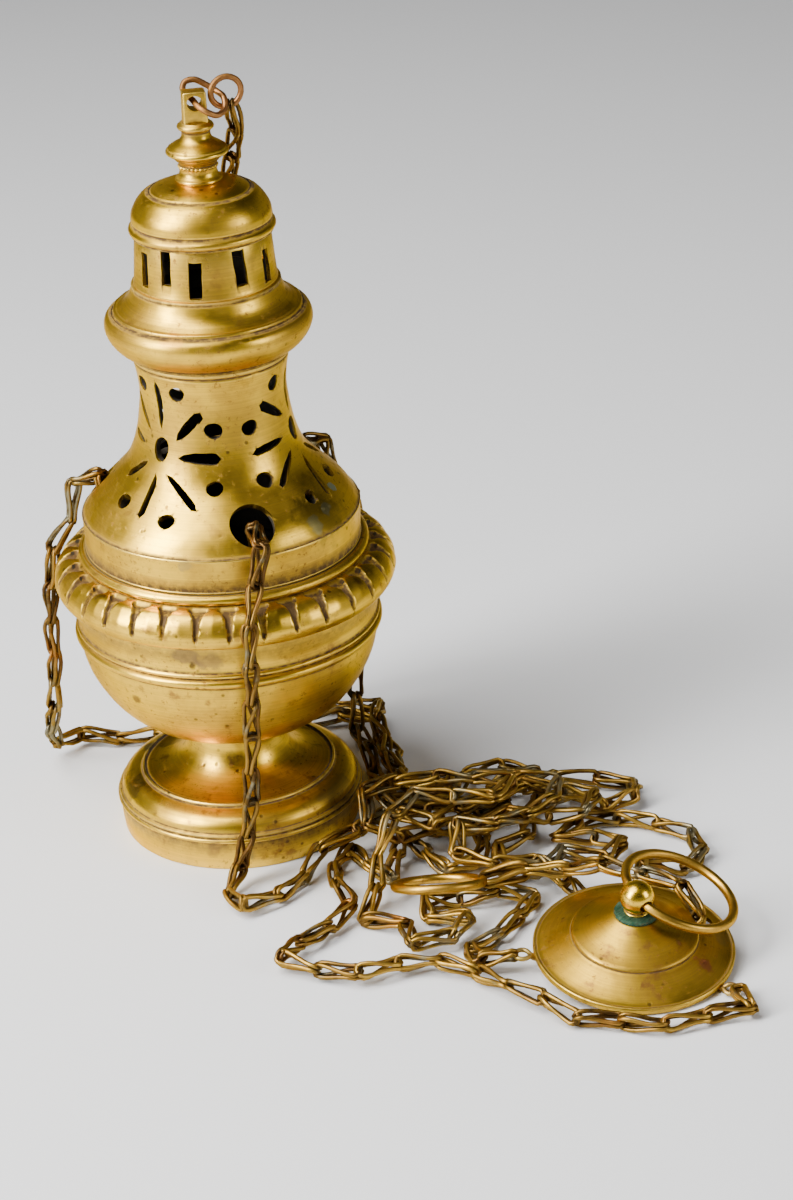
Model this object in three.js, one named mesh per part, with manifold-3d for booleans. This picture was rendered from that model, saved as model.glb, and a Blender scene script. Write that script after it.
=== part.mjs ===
// Hanging brass censer with a pierced lid, three suspension chains, a lid chain and a domed
// handle disc. Millimetres, +Z up, origin under the middle of the foot and disc footprint.

import * as THREE from 'three';
import { mergeVertices } from 'three/addons/utils/BufferGeometryUtils.js';
import Module from 'manifold-3d';

const wasm = await Module();
wasm.setup();

// Driving dimensions: fits
const seatGap = 0.3;
const wall = 1.8;

// Driving dimensions: foot
const footRadius = 39.8;
const footWallHeight = 10.6;
const footRidgeRadius = 30.4;
const footRidgeHeight = 19.2;
const stemRadius = 14.2;
const footHeight = 34.6;
const footTopThickness = 2.6;
const boltRadius = 2.4;
const boltHeadRadius = 5.2;
const boltHeadHeight = 3.4;
const nutHeight = 3.2;

// Driving dimensions: bowl and gadrooned rim
const bowlRadius = 47.4;
const bowlHeight = 50;
const bowlFloorThickness = 2.6;
const bowlFloorRadius = 14.5;
const mouldingBelowRim = 14.8;
const rimHeight = 14;
const rimBore = 41.8;
const rimSpigotDepth = 3.2;
const beadRadius = 45.2;
const gadroonRadius = 53.7;
const gadroonCount = 32;
const gadroonDepth = 1.6;

// Driving dimensions: charcoal pan
const panRadius = 27.6;
const panHeight = 38;
const panStandRadius = 11.6;
const panStandHeight = 4.8;
const panWall = 1.2;

// Driving dimensions: chain lugs in the rim
const holeAzimuths = [-76, 164, 44];
const lugNames = ['front', 'left', 'right'];
const lugWidth = 7;
const lugThickness = 1.3;
const lugHeight = 9.4;
const lugEyeRadius = 1.9;
const lugWireRadius = 0.7;
const rivetRadius = 1;

// Driving dimensions: lid
const skirtRadius = 43.2;
const skirtHeight = 11.2;
const skirtSpigotDepth = 4;
const bellHeight = 63.4;
const neckRadius = 22.6;
const neckHeight = 51.4;
const neckTopRadius = 24;
const chainHoleRadius = 7;
const chainHoleHeight = 19;
const flowerHeight = 38.1;
const flowerEyeRadius = 3;
const slotWidth = 2.2;
const dotRadius = 2.2;
const collarRadius = 31.8;
const collarHeight = 22.2;
const drumRadius = 21.7;
const drumTopRadius = 20.6;
const drumHeight = 15.2;
const windowCount = 12;
const windowWidth = 4.2;
const windowHeight = 11.4;
const windowStep = 2.6;
const domeRadius = 22.2;
const domeHeight = 15.8;
const domeGrooveRadius = 15.3;

// Driving dimensions: finial and its rings
const finialDiskRadius = 9.5;
const finialNeckRadius = 5.5;
const finialCollarRadius = 5.5;
const finialShaftHeight = 18.2;
const eyeBlockWidth = 7.4;
const eyeBlockDepth = 5.8;
const eyeBlockHeight = 9.2;
const eyeBlockTurn = 6;
const eyeBore = 2.4;
const finialStudRadius = 2.6;
const finialWire = 0.95;
const joiningRingRadius = 4.6;

// Driving dimensions: handle disc, ball and ring
const discX = 113.2;
const discY = -108.6;
const discLift = 3.9;
const discLeanForward = 6.9;
const discLeanRight = 2.34;
const discRadius = 30.2;
const discShoulderRadius = 18.5;
const discShoulderHeight = 7;
const discHeight = 13.6;
const discWall = 1.4;
const washerRadius = 6.4;
const washerHeight = 1.1;
const ballRadius = 5.1;
const ballCentre = 19.7;
const ringRadius = 17.3;
const ringWire = 1.5;
const ringBoreClearance = 0.8;
const ringBoreAzimuth = 117.9;
const ringBoreRise = 8.9;
const ringDroop = 16.9;
const lidChainHoleRadius = 3.6;
const lidChainHoleX = 21.2;
const lidChainHoleY = 7.4;
const eyeletAzimuths = { front: -40, left: 183, back: 78 };
const eyeletRadius = 2.2;
const eyeletWire = 0.75;
const eyeletHeight = 1.2;

// Driving dimensions: pull ring and chains
const pullRingRadius = 13.6;
const pullRingWire = 1.5;
const pullRingX = 58.6;
const pullRingY = -70.2;
const pullRingZ = 8.4;
const pullRingLean = 24;
const chainTube = 2.3;
const chainSteps = 0.85;
const chainSides = 6;
const chainFloor = 2.7;
const chainLayer = 5.6;
const chainClear = 0.9;

// Heights worked out from the stack of pieces
const bowlBase = footHeight;
const bowlTop = bowlBase + bowlHeight;
const rimTop = bowlTop + rimHeight;
const panBase = bowlBase + bowlFloorThickness;
const bellTop = rimTop + bellHeight;
const collarTop = bellTop + collarHeight;
const drumTop = collarTop + drumHeight;
const domeTop = drumTop + domeHeight;
const eyeBlockBase = domeTop + finialShaftHeight;
const totalHeight = eyeBlockBase + eyeBlockHeight;

const paint = (color, roughness, metalness) => new THREE.MeshStandardMaterial({ color, roughness, metalness });
const brass = paint(0xc39a3a, 0.35, 0.9);
const darkBrass = paint(0x8a6a2c, 0.45, 0.85);
const copperWire = paint(0x8d5a34, 0.5, 0.8);
const verdigris = paint(0x3f6b52, 0.8, 0.3);
const iron = paint(0x4a4643, 0.6, 0.8);
const chainBrass = paint(0x77592a, 0.45, 0.85);

const root = new THREE.Group();

// Geometry helpers

function clean(geometry) {
  geometry.deleteAttribute('normal');
  geometry.deleteAttribute('uv');
  const merged = mergeVertices(geometry, 1e-4);
  const index = merged.index.array;
  const position = merged.attributes.position;
  const kept = [];
  let volume = 0;
  const a = new THREE.Vector3();
  const b = new THREE.Vector3();
  const c = new THREE.Vector3();
  for (let i = 0; i < index.length; i += 3) {
    const [p, q, r] = [index[i], index[i + 1], index[i + 2]];
    if (p === q || q === r || r === p) continue;
    kept.push(p, q, r);
    a.fromBufferAttribute(position, p);
    b.fromBufferAttribute(position, q);
    c.fromBufferAttribute(position, r);
    volume += a.dot(b.cross(c)) / 6;
  }
  if (volume < 0) {
    for (let i = 0; i < kept.length; i += 3) [kept[i], kept[i + 1]] = [kept[i + 1], kept[i]];
  }
  merged.setIndex(kept);
  return merged;
}

function toSolid(geometry) {
  const closed = clean(geometry);
  return new wasm.Manifold(
    new wasm.Mesh({
      numProp: 3,
      vertProperties: new Float32Array(closed.attributes.position.array),
      triVerts: new Uint32Array(closed.index.array),
    }),
  );
}

function fromSolid(solid) {
  const mesh = solid.getMesh();
  const geometry = new THREE.BufferGeometry();
  geometry.setAttribute('position', new THREE.BufferAttribute(new Float32Array(mesh.vertProperties), 3));
  geometry.setIndex(Array.from(mesh.triVerts));
  return geometry;
}

function cut(geometry, cutters) {
  let solid = toSolid(geometry);
  for (const cutter of cutters) solid = solid.subtract(toSolid(cutter));
  return fromSolid(solid);
}

function join(...geometries) {
  let solid = toSolid(geometries[0]);
  for (const geometry of geometries.slice(1)) solid = solid.add(toSolid(geometry));
  return fromSolid(solid);
}

// A profile of [radius, height] points turned about the Z axis. It closes on itself unless
// both of its ends lie on the axis.
function turned(profile, segments) {
  const points = profile.map(([r, z]) => new THREE.Vector2(r, z));
  const onAxis = profile[0][0] === 0 && profile[profile.length - 1][0] === 0;
  if (!onAxis) points.push(points[0].clone());
  return clean(new THREE.LatheGeometry(points, segments).rotateX(Math.PI / 2));
}

function spline(points, steps) {
  return new THREE.SplineCurve(points.map(([r, z]) => new THREE.Vector2(r, z)))
    .getPoints(steps)
    .map((p) => [p.x, p.y]);
}

function torus(radius, wire, segments, sides) {
  return clean(new THREE.TorusGeometry(radius, wire, sides, segments));
}

function cylinder(radius, z0, z1, sides) {
  return new THREE.CylinderGeometry(radius, radius, z1 - z0, sides).rotateX(Math.PI / 2).translate(0, 0, (z0 + z1) / 2);
}

// A ring cut or bored washer: outer radius, inner radius, bottom, top
function sleeve(outer, inner, z0, z1, sides) {
  return turned([[outer, z0], [outer, z1], [inner, z1], [inner, z0]], sides);
}

// A six-sided nut with a round bore
function hexNut(outer, bore, z0, z1) {
  return cut(cylinder(outer, z0, z1, 6), [cylinder(bore, z0 - 1, z1 + 1, 12)]);
}

// A tube that follows a curve, made of straight runs of a round section
function tube(curve, radius, steps, sides) {
  const section = new THREE.Shape();
  for (let i = 0; i < sides; i++) {
    const angle = (i / sides) * Math.PI * 2;
    const [x, y] = [radius * Math.cos(angle), radius * Math.sin(angle)];
    if (i === 0) section.moveTo(x, y);
    else section.lineTo(x, y);
  }
  section.closePath();
  return clean(new THREE.ExtrudeGeometry(section, { steps, extrudePath: curve, bevelEnabled: false, curveSegments: 1 }));
}

function place(name, geometry, material, parent = root) {
  const mesh = new THREE.Mesh(geometry, material);
  mesh.name = name;
  parent.add(mesh);
  return mesh;
}

const degrees = THREE.MathUtils.degToRad;

// A point on the wall of the lid or rim: radius, azimuth in degrees, height
function around(radius, azimuth, z) {
  return new THREE.Vector3(radius * Math.cos(degrees(azimuth)), radius * Math.sin(degrees(azimuth)), z);
}

// Foot: a hollow turned casting, open below, that stands on the edge of its wall

function footProfile() {
  const lip = footRadius;
  const base = footWallHeight;
  const ridge = footRidgeRadius;
  const top = footHeight;
  const outer = [
    [lip - 1.6, 0],
    [lip - 0.6, base - 0.6],
    [lip, base],
    [lip, base + 1.2],
    [lip - 1.2, base + 1.9],
    [lip - 3.2, footRidgeHeight - 3],
    [ridge + 0.8, footRidgeHeight - 0.7],
    [ridge, footRidgeHeight],
    [ridge - 0.9, footRidgeHeight - 0.5],
    [(ridge + stemRadius) / 2 + 1, footRidgeHeight + 1.4],
    [stemRadius + 3.4, footRidgeHeight + 5.2],
    [stemRadius + 0.6, top - 5.4],
    [stemRadius + 0.7, top],
  ];
  const inner = [
    [boltRadius + seatGap, top],
    [boltRadius + seatGap, top - footTopThickness],
    [stemRadius - wall, top - footTopThickness],
    [stemRadius - wall, top - 6],
    [stemRadius + 1.4, footRidgeHeight + 3],
    [(ridge + stemRadius) / 2, footRidgeHeight - 1.2],
    [ridge - 1, footRidgeHeight - wall - 0.9],
    [lip - 4.8, footRidgeHeight - wall - 3.2],
    [lip - 1.6 - wall, 0],
  ];
  return [...outer, ...inner];
}

place('foot', turned(footProfile(), 26), brass);

// Bolt that holds the foot to the bowl, with its head inside the foot and its nut in the bowl

const nutTop = panBase + nutHeight;
const footInnerTop = footHeight - footTopThickness;
place(
  'foot_bolt',
  join(
    cylinder(boltHeadRadius, footInnerTop - boltHeadHeight, footInnerTop, 6),
    cylinder(boltRadius, footInnerTop - 1, nutTop + 1, 12),
  ),
  darkBrass,
);
place('bowl_nut', hexNut(boltHeadRadius, boltRadius + seatGap, panBase, nutTop), darkBrass);

// Bowl: a deep turned shell with a double moulding below its upper band

const bandFoot = bowlTop - mouldingBelowRim + 4.2;

function bowlOuter() {
  const r = bowlRadius;
  const m = bowlTop - mouldingBelowRim;
  const belly = spline(
    [
      [r - 0.2, m - 3.2],
      [r - 1.8, m - 9.6],
      [r - 4.8, m - 16],
      [r - 9.8, m - 23],
      [r - 16.8, m - 28.8],
      [r - 25, m - 32.8],
      [stemRadius + 1, bowlBase],
    ],
    7,
  );
  return [
    [r + 1, bowlTop],
    [r + 0.4, bowlTop - 5],
    [r + 0.1, bandFoot],
    [r + 0.7, m + 3.1],
    [r, m + 2.2],
    [r + 1.1, m + 1.2],
    [r + 1.1, m - 0.4],
    [r, m - 1.5],
    ...belly,
  ];
}

function bowlInner() {
  const r = bowlRadius - wall;
  const m = bowlTop - mouldingBelowRim;
  const belly = spline(
    [
      [bowlFloorRadius, panBase],
      [r - 24, m - 30.4],
      [r - 16.2, m - 26.6],
      [r - 9.8, m - 21.2],
      [r - 4.9, m - 15],
      [r - 1.8, m - 9],
      [r - 0.1, m - 3],
    ],
    5,
  );
  return [
    [boltRadius + seatGap, bowlBase],
    [boltRadius + seatGap, panBase],
    ...belly,
    [r, bowlTop],
  ];
}

place('bowl', turned([...bowlOuter(), ...bowlInner()], 28), brass);

// Gadrooned rim: a bead and a ring of lobes, with a spigot that drops into the bowl. Each
// lobe is two columns of the section: the groove between two lobes and the crest.

function rimColumn(groove) {
  const seat = rimTop;
  const low = bowlTop;
  const crest = [
    [beadRadius + 0.9, seat - 3.2],
    [beadRadius + 4.4, seat - 3.8],
    [gadroonRadius - 1.4, seat - 6.2],
    [gadroonRadius, seat - 9.7],
    [gadroonRadius - 0.8, low + 1.2],
  ];
  const depths = [0.6, 0.95, 0.75, 0.45, 0];
  const slopes = [
    [0, 1],
    [0.25, 0.97],
    [0.75, 0.66],
    [1, 0.1],
    [1, 0],
  ];
  const lobes = crest.map(([r, z], i) => {
    const d = gadroonDepth * depths[i] * groove;
    return [r - d * slopes[i][0], z - d * slopes[i][1]];
  });
  const spigot = bowlRadius - wall - seatGap;
  return [
    [beadRadius - 0.4, seat],
    [beadRadius, seat - 1.4],
    ...lobes,
    [gadroonRadius - 1.6, low],
    [spigot, low],
    [spigot, low - rimSpigotDepth],
    [spigot - wall, low - rimSpigotDepth],
    [rimBore, low + 0.6],
    [rimBore, seat],
  ];
}

function gadroonedRim() {
  const phases = [[0, 1], [0.5, 0]];
  const columns = [];
  for (let lobe = 0; lobe < gadroonCount; lobe++) {
    for (const [phase, groove] of phases) {
      const angle = ((lobe + phase) / gadroonCount) * Math.PI * 2;
      columns.push({ angle, section: rimColumn(groove) });
    }
  }
  const rows = columns[0].section.length;
  const positions = [];
  for (const { angle, section } of columns) {
    for (const [r, z] of section) positions.push(r * Math.cos(angle), r * Math.sin(angle), z);
  }
  const index = [];
  for (let i = 0; i < columns.length; i++) {
    const next = (i + 1) % columns.length;
    for (let k = 0; k < rows; k++) {
      const up = (k + 1) % rows;
      const [a, b, c, d] = [i * rows + k, next * rows + k, next * rows + up, i * rows + up];
      index.push(a, b, c, a, c, d);
    }
  }
  const geometry = new THREE.BufferGeometry();
  geometry.setAttribute('position', new THREE.Float32BufferAttribute(positions, 3));
  geometry.setIndex(index);
  return clean(geometry);
}

// Chain lugs: a riveted plate inside the rim that carries an eye for the first link

const lugPlateOuter = rimBore - seatGap;
const lugTop = rimTop - skirtSpigotDepth - 0.6;
const lugPlateMid = lugPlateOuter - lugThickness / 2;
const lugEyeCentre = lugPlateOuter - lugThickness - lugEyeRadius + 0.3;
const lugEyeHeight = lugTop - lugEyeRadius - lugWireRadius;
const rivetHeight = lugTop - lugHeight + 2.1;

function lugGeometry() {
  const plate = new THREE.BoxGeometry(lugThickness, lugWidth, lugHeight);
  plate.translate(lugPlateMid, 0, lugTop - lugHeight / 2);
  const eye = torus(lugEyeRadius, lugWireRadius, 9, 5).rotateX(Math.PI / 2);
  eye.translate(lugEyeCentre, 0, lugEyeHeight);
  return join(plate, eye);
}

const rivetHole = () => cylinder(rivetRadius + seatGap, lugPlateOuter - lugThickness - 1, rimBore + 4, 6)
  .rotateY(Math.PI / 2)
  .translate(0, 0, rivetHeight);

const rivet = () => join(
  cylinder(rivetRadius, lugPlateOuter - lugThickness - 1, rimBore + 2.4, 6),
  cylinder(rivetRadius * 1.7, lugPlateOuter - lugThickness - 1.2, lugPlateOuter - lugThickness - seatGap, 6),
).rotateY(Math.PI / 2).translate(0, 0, rivetHeight);

const rivetPockets = holeAzimuths.map((azimuth) =>
  cylinder(rivetRadius + seatGap, rimBore - 1, rimBore + 2.4 + seatGap, 6)
    .rotateY(Math.PI / 2)
    .translate(0, 0, rivetHeight)
    .rotateZ(degrees(azimuth)));

place('gadrooned_rim', cut(gadroonedRim(), rivetPockets), brass);

lugNames.forEach((name, i) => {
  const lug = cut(lugGeometry(), [rivetHole()]).rotateZ(degrees(holeAzimuths[i]));
  place(`chain_lug_${name}`, lug, darkBrass);
  place(`lug_rivet_${name}`, rivet().rotateZ(degrees(holeAzimuths[i])), darkBrass);
});

// Charcoal pan: a loose iron cup that stands on the bowl's floor

function panProfile() {
  const base = panBase + panStandHeight;
  const top = panBase + panHeight;
  const outer = [
    [panStandRadius, panBase],
    [panStandRadius, base],
    [panRadius - 8, base + 1],
    [panRadius - 2.6, base + 7],
    [panRadius - 0.8, base + 16],
    [panRadius - 0.4, top - 1.6],
    [panRadius + 0.6, top - 0.9],
    [panRadius + 0.4, top],
  ];
  const inner = [
    [panRadius - 1.4, top],
    [panRadius - 0.8 - panWall, base + 16],
    [panRadius - 3.2 - panWall, base + 8],
    [panRadius - 8.6, base + 1 + panWall],
    [0, base + panWall],
  ];
  return [...outer, ...inner, [0, base], [panStandRadius - panWall, base - 0.2], [panStandRadius - panWall, panBase]];
}

place('fire_pan', panGeometry(), iron);

// The pan's section meets the axis, so its last three points turn back to the stand ring.
function panGeometry() {
  const profile = panProfile();
  const start = profile.findIndex(([r]) => r === 0) + 1;
  return turned([...profile.slice(start), ...profile.slice(0, start)], 24);
}

// Lid bell: the lower part of the lid, a thin flared shell pierced all over

function bellOuter() {
  const h = rimTop;
  const flare = spline(
    [
      [skirtRadius, h + skirtHeight],
      [skirtRadius - 3.7, h + skirtHeight + 5.4],
      [skirtRadius - 9.6, h + skirtHeight + 11.4],
      [skirtRadius - 15, h + skirtHeight + 17.4],
      [skirtRadius - 18.2, h + skirtHeight + 24.8],
      [neckRadius + 0.6, h + neckHeight - 6.4],
      [neckRadius, h + neckHeight],
      [neckTopRadius - 0.2, h + bellHeight - 3],
      [neckTopRadius, h + bellHeight],
    ],
    8,
  );
  return [
    [skirtRadius, h],
    [skirtRadius + 0.1, h + skirtHeight - 0.6],
    ...flare,
  ];
}

function bellInner() {
  const h = rimTop;
  const spigot = rimBore - seatGap;
  const flare = spline(
    [
      [neckTopRadius - wall, h + bellHeight],
      [neckRadius - wall, h + neckHeight],
      [neckRadius + 0.6 - wall, h + neckHeight - 7],
      [skirtRadius - 18.8 - wall, h + skirtHeight + 23],
      [skirtRadius - 15.8 - wall, h + skirtHeight + 15.6],
      [skirtRadius - 10.6 - wall, h + skirtHeight + 9.8],
      [skirtRadius - 5 - wall, h + skirtHeight + 3.4],
      [skirtRadius - 1.2 - wall, h + skirtHeight - 2],
    ],
    4,
  );
  return [
    ...flare,
    [skirtRadius - 1.2 - wall, h],
    [skirtRadius - 1.8 - wall, h - skirtSpigotDepth],
    [spigot, h - skirtSpigotDepth],
    [spigot, h],
  ];
}

// Height to outer radius, from the straight pieces of the bell's own outline
const bellWallPoints = bellOuter();
function bellWallAt(z) {
  for (let i = 1; i < bellWallPoints.length; i++) {
    const [r0, z0] = bellWallPoints[i - 1];
    const [r1, z1] = bellWallPoints[i];
    if (z >= z0 && z <= z1 && z1 > z0) {
      const t = (z - z0) / (z1 - z0);
      return { r: r0 + (r1 - r0) * t, slope: Math.atan2(r0 - r1, z1 - z0) };
    }
  }
  return { r: neckTopRadius, slope: 0 };
}

// Places a cutter, modelled around the origin with +X as its depth, square to the bell's
// wall at an azimuth and a height.
function onBell(geometry, azimuth, z) {
  const { r, slope } = bellWallAt(z);
  return geometry.rotateY(-slope).translate(r, 0, z).rotateZ(degrees(azimuth));
}

const cutDepth = 12;

function roundCutter(radius, sides) {
  return cylinder(radius, -cutDepth / 2, cutDepth / 2, sides).rotateY(Math.PI / 2);
}

// A slot with round ends, length along the local direction given by its turn in degrees
function slotCutter(length, width, turn) {
  const shape = new THREE.Shape();
  const straight = (length - width) / 2;
  shape.absarc(straight, 0, width / 2, -Math.PI / 2, Math.PI / 2);
  shape.absarc(-straight, 0, width / 2, Math.PI / 2, (3 * Math.PI) / 2);
  const slab = new THREE.ExtrudeGeometry(shape, { depth: cutDepth, bevelEnabled: false, curveSegments: 1 });
  slab.translate(0, 0, -cutDepth / 2);
  // Local Y is the wall's sideways direction and local Z runs up the wall.
  const basis = new THREE.Matrix4().makeBasis(
    new THREE.Vector3(0, 1, 0),
    new THREE.Vector3(0, 0, 1),
    new THREE.Vector3(1, 0, 0),
  );
  return slab.rotateZ(degrees(turn)).applyMatrix4(basis);
}

// Flowers cut by hand: slots that ray out from an eye, and dots round them. Each slot gives
// its inner end and its outer end, and each dot its middle, as the distance sideways from
// the eye round the wall and the height over it.
const wideFlower = {
  slots: [
    [-5, 4.7, -15.2, 14.2],
    [-0.4, 6.5, -1.4, 20.3],
    [5.2, 3.8, 13.5, 12.9],
    [7, -1.3, 20.4, -1.4],
    [4.9, -7.1, 16.4, -14.8],
    [-0.4, -7.8, 0.4, -18.8],
    [-5.9, -4.8, -13.8, -11.5],
    [-8.2, 0, -16.5, 1.5],
  ],
  dots: [[5.9, 18.3], [16.9, 7], [20.1, -9.7], [9.9, -17.9], [-9, -16.3], [-9.4, 18.5]],
};
const steepFlower = {
  slots: [
    [-5.2, 6.4, -14.4, 12.5],
    [0.4, 6, 0.8, 19.7],
    [7, 5.2, 14.6, 12.8],
    [8.4, -0.4, 20.4, -1],
    [4.9, -7.1, 14.8, -13.6],
    [-1.6, -8.4, -5.6, -19.3],
    [-7.2, -5, -17.8, -12.8],
    [-8.5, -0.2, -20.6, -1.4],
  ],
  dots: [[-8.4, 17.8], [9, 17.6], [16.8, 7], [18.6, -9.7], [4.8, -15.9], [-13.4, -17.1]],
};
const flowers = [
  { azimuth: -134, cuts: wideFlower },
  { azimuth: -17, cuts: steepFlower },
  { azimuth: 104, cuts: wideFlower },
];

function flowerCutters({ azimuth, cuts }) {
  const eye = rimTop + flowerHeight;
  const placed = (cutter, side, up) => {
    const swing = THREE.MathUtils.radToDeg(side / bellWallAt(eye + up).r);
    return onBell(cutter, azimuth + swing, eye + up);
  };
  const slots = cuts.slots.map(([side0, up0, side1, up1]) => {
    const rise = (up1 - up0) / Math.cos(bellWallAt(eye + (up0 + up1) / 2).slope);
    const length = Math.hypot(side1 - side0, rise) + slotWidth;
    const turn = THREE.MathUtils.radToDeg(Math.atan2(rise, side1 - side0));
    return placed(slotCutter(length, slotWidth, turn), (side0 + side1) / 2, (up0 + up1) / 2);
  });
  const dots = cuts.dots.map(([side, up]) => placed(roundCutter(dotRadius, 6), side, up));
  return [placed(roundCutter(flowerEyeRadius, 8), 0, 0), ...slots, ...dots];
}

const bellCutters = [
  ...holeAzimuths.map((azimuth) =>
    onBell(roundCutter(chainHoleRadius, 12), azimuth, rimTop + chainHoleHeight)),
  ...flowers.flatMap(flowerCutters),
];

place('lid_bell', cut(turned([...bellOuter(), ...bellInner()], 24), bellCutters), brass);

// Lid collar: the bulging knop between the bell and the drum

const collarBore = neckTopRadius - wall;

function collarProfile() {
  const b = bellTop;
  return [
    [neckTopRadius + 0.8, b],
    [neckTopRadius + 3.8, b + 2.4],
    [collarRadius - 1.8, b + 5.4],
    [collarRadius, b + 9],
    [collarRadius - 0.8, b + 11.8],
    [collarRadius - 2.8, b + 13.4],
    [drumRadius + 3.6, b + 16.6],
    [drumRadius + 1.2, b + 20],
    [drumRadius + 0.5, collarTop],
    [drumRadius - wall, collarTop],
    [drumRadius - wall + 0.4, b + 18],
    [drumRadius + 3.4, b + 13],
    [collarRadius - wall - 1, b + 9],
    [collarRadius - wall - 4, b + 5],
    [collarBore, b + 1.6],
    [collarBore, b],
  ];
}

place('lid_collar', turned(collarProfile(), 26), brass);

// Lid drum: a thin tapered wall with hand-cut windows, every other one set higher

function drumProfile() {
  return [
    [drumRadius, collarTop],
    [drumTopRadius, drumTop],
    [drumTopRadius - wall, drumTop],
    [drumRadius - wall, collarTop],
  ];
}

const windowCutters = [];
for (let i = 0; i < windowCount; i++) {
  const window = new THREE.BoxGeometry(wall * 5, windowWidth, windowHeight);
  const middle = (collarTop + drumTop) / 2 + ((i % 2 ? 1 : -1) * windowStep) / 2;
  window.translate(drumRadius, 0, middle);
  windowCutters.push(window.rotateZ(((i + 0.5) / windowCount) * Math.PI * 2 + degrees(-23)));
}

place('lid_drum', cut(turned(drumProfile(), 24), windowCutters), brass);

// Lid dome: a bead, a rounded shoulder and a low cap, bored for the finial's stud

function domeProfile() {
  const b = drumTop;
  const cap = domeGrooveRadius;
  const shoulder = spline(
    [
      [domeRadius - 0.9, b + 4.4],
      [domeRadius - 1.2, b + 7],
      [domeRadius - 2.6, b + 9.8],
      [cap + 2.4, b + 12.2],
      [cap + 0.4, b + 13.2],
    ],
    4,
  );
  return [
    [domeRadius - 0.6, b],
    [domeRadius, b + 1],
    [domeRadius, b + 2.8],
    ...shoulder,
    [cap - 0.1, b + 12.8],
    [cap - 0.7, b + 13.2],
    [cap / 2 + 2.6, b + 15.2],
    [finialNeckRadius + 1.4, domeTop],
    [finialStudRadius + seatGap, domeTop],
    [finialStudRadius + seatGap, domeTop - wall],
    [boltHeadRadius + 0.6, domeTop - wall],
    [cap / 2 + 2.6, b + 12.8],
    [cap, b + 10.4],
    [domeRadius - 3.6, b + 6],
    [domeRadius - 1.6 - wall, b + 1.6],
    [domeRadius - 1.8 - wall, b],
  ];
}

place('lid_dome', turned(domeProfile(), 24), brass);

// Finial: a turned baluster that ends in a square block with an eye, on a stud and nut

function finialProfile() {
  const b = domeTop;
  const n = finialNeckRadius;
  const d = finialDiskRadius;
  return [
    [0, b - 5.6],
    [finialStudRadius, b - 5.6],
    [finialStudRadius, b],
    [n + 1.4, b],
    [n + 1.4, b + 1.4],
    [n + 0.3, b + 2.4],
    [n + 0.7, b + 3.6],
    [n, b + 5.2],
    [n + 1.2, b + 6.6],
    [d - 1.2, b + 8.2],
    [d, b + 9.4],
    [d - 0.2, b + 10.4],
    [n, b + 12.4],
    [n - 1.3, b + 14.2],
    [n - 1.2, b + 15.2],
    [finialCollarRadius, b + 16.2],
    [finialCollarRadius, b + 17.4],
    [finialCollarRadius - 1, eyeBlockBase],
    [0, eyeBlockBase],
  ];
}

const eyeHeight = eyeBlockBase + eyeBlockHeight * 0.64;
const block = new THREE.BoxGeometry(eyeBlockWidth, eyeBlockDepth, eyeBlockHeight + 1);
block.translate(0, 0, eyeBlockBase + (eyeBlockHeight - 1) / 2);
const eyeCutter = cylinder(eyeBore, -eyeBlockDepth, eyeBlockDepth, 10).rotateX(Math.PI / 2).translate(0, 0, eyeHeight);
place(
  'finial',
  cut(join(turned(finialProfile(), 16), block), [eyeCutter]).rotateZ(degrees(eyeBlockTurn)),
  brass,
);
place(
  'finial_nut',
  hexNut(boltHeadRadius, finialStudRadius + seatGap, domeTop - wall - nutHeight, domeTop - wall),
  darkBrass,
);

// The bent copper loop through the finial's eye, as points from the middle of the eye

const finialLoop = [
  [0, 0, 0],
  [1.1, -3.4, -0.6],
  [3.6, -5.2, -2],
  [6.6, -4, -3.5],
  [8.9, -1, -2.6],
  [8.9, 1.6, 0.2],
  [6.6, 4.4, 1.6],
  [3.6, 5.4, 3.4],
  [0.6, 5.6, 4.9],
  [-2.2, 5.4, 4.4],
  [-3, 4.9, 2.4],
  [-1.4, 3.8, 0.5],
];
const loopCurve = new THREE.CatmullRomCurve3(
  finialLoop.map(([x, y, z]) => new THREE.Vector3(x, y, z + eyeHeight)),
  true,
);

// A closed ring of round wire along a closed curve
function closedTube(curve, radius, steps, sides) {
  const frames = curve.computeFrenetFrames(steps, true);
  const positions = [];
  const index = [];
  for (let i = 0; i < steps; i++) {
    const centre = curve.getPointAt(i / steps);
    for (let k = 0; k < sides; k++) {
      const angle = (k / sides) * Math.PI * 2;
      const p = centre.clone()
        .addScaledVector(frames.normals[i], radius * Math.cos(angle))
        .addScaledVector(frames.binormals[i], radius * Math.sin(angle));
      positions.push(p.x, p.y, p.z);
      const a = i * sides + k;
      const b = ((i + 1) % steps) * sides + k;
      const c = ((i + 1) % steps) * sides + ((k + 1) % sides);
      const d = i * sides + ((k + 1) % sides);
      index.push(a, b, c, a, c, d);
    }
  }
  const geometry = new THREE.BufferGeometry();
  geometry.setAttribute('position', new THREE.Float32BufferAttribute(positions, 3));
  geometry.setIndex(index);
  return clean(geometry);
}

place('finial_ring', closedTube(loopCurve, finialWire, 22, 6), copperWire);
const joiningRing = torus(joiningRingRadius, finialWire, 16, 6).rotateX(Math.PI / 2).rotateZ(degrees(14));
place('joining_ring', joiningRing.translate(eyeBlockWidth / 2 + 5.9, 1.7, eyeHeight + 1.8), copperWire);

// Handle: a domed disc that lies on the floor, leaning forward over the chain under its back

const handle = new THREE.Group();
handle.position.set(discX, discY, discLift);
handle.rotation.set(degrees(discLeanForward), degrees(discLeanRight), 0, 'YXZ');
root.add(handle);

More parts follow.
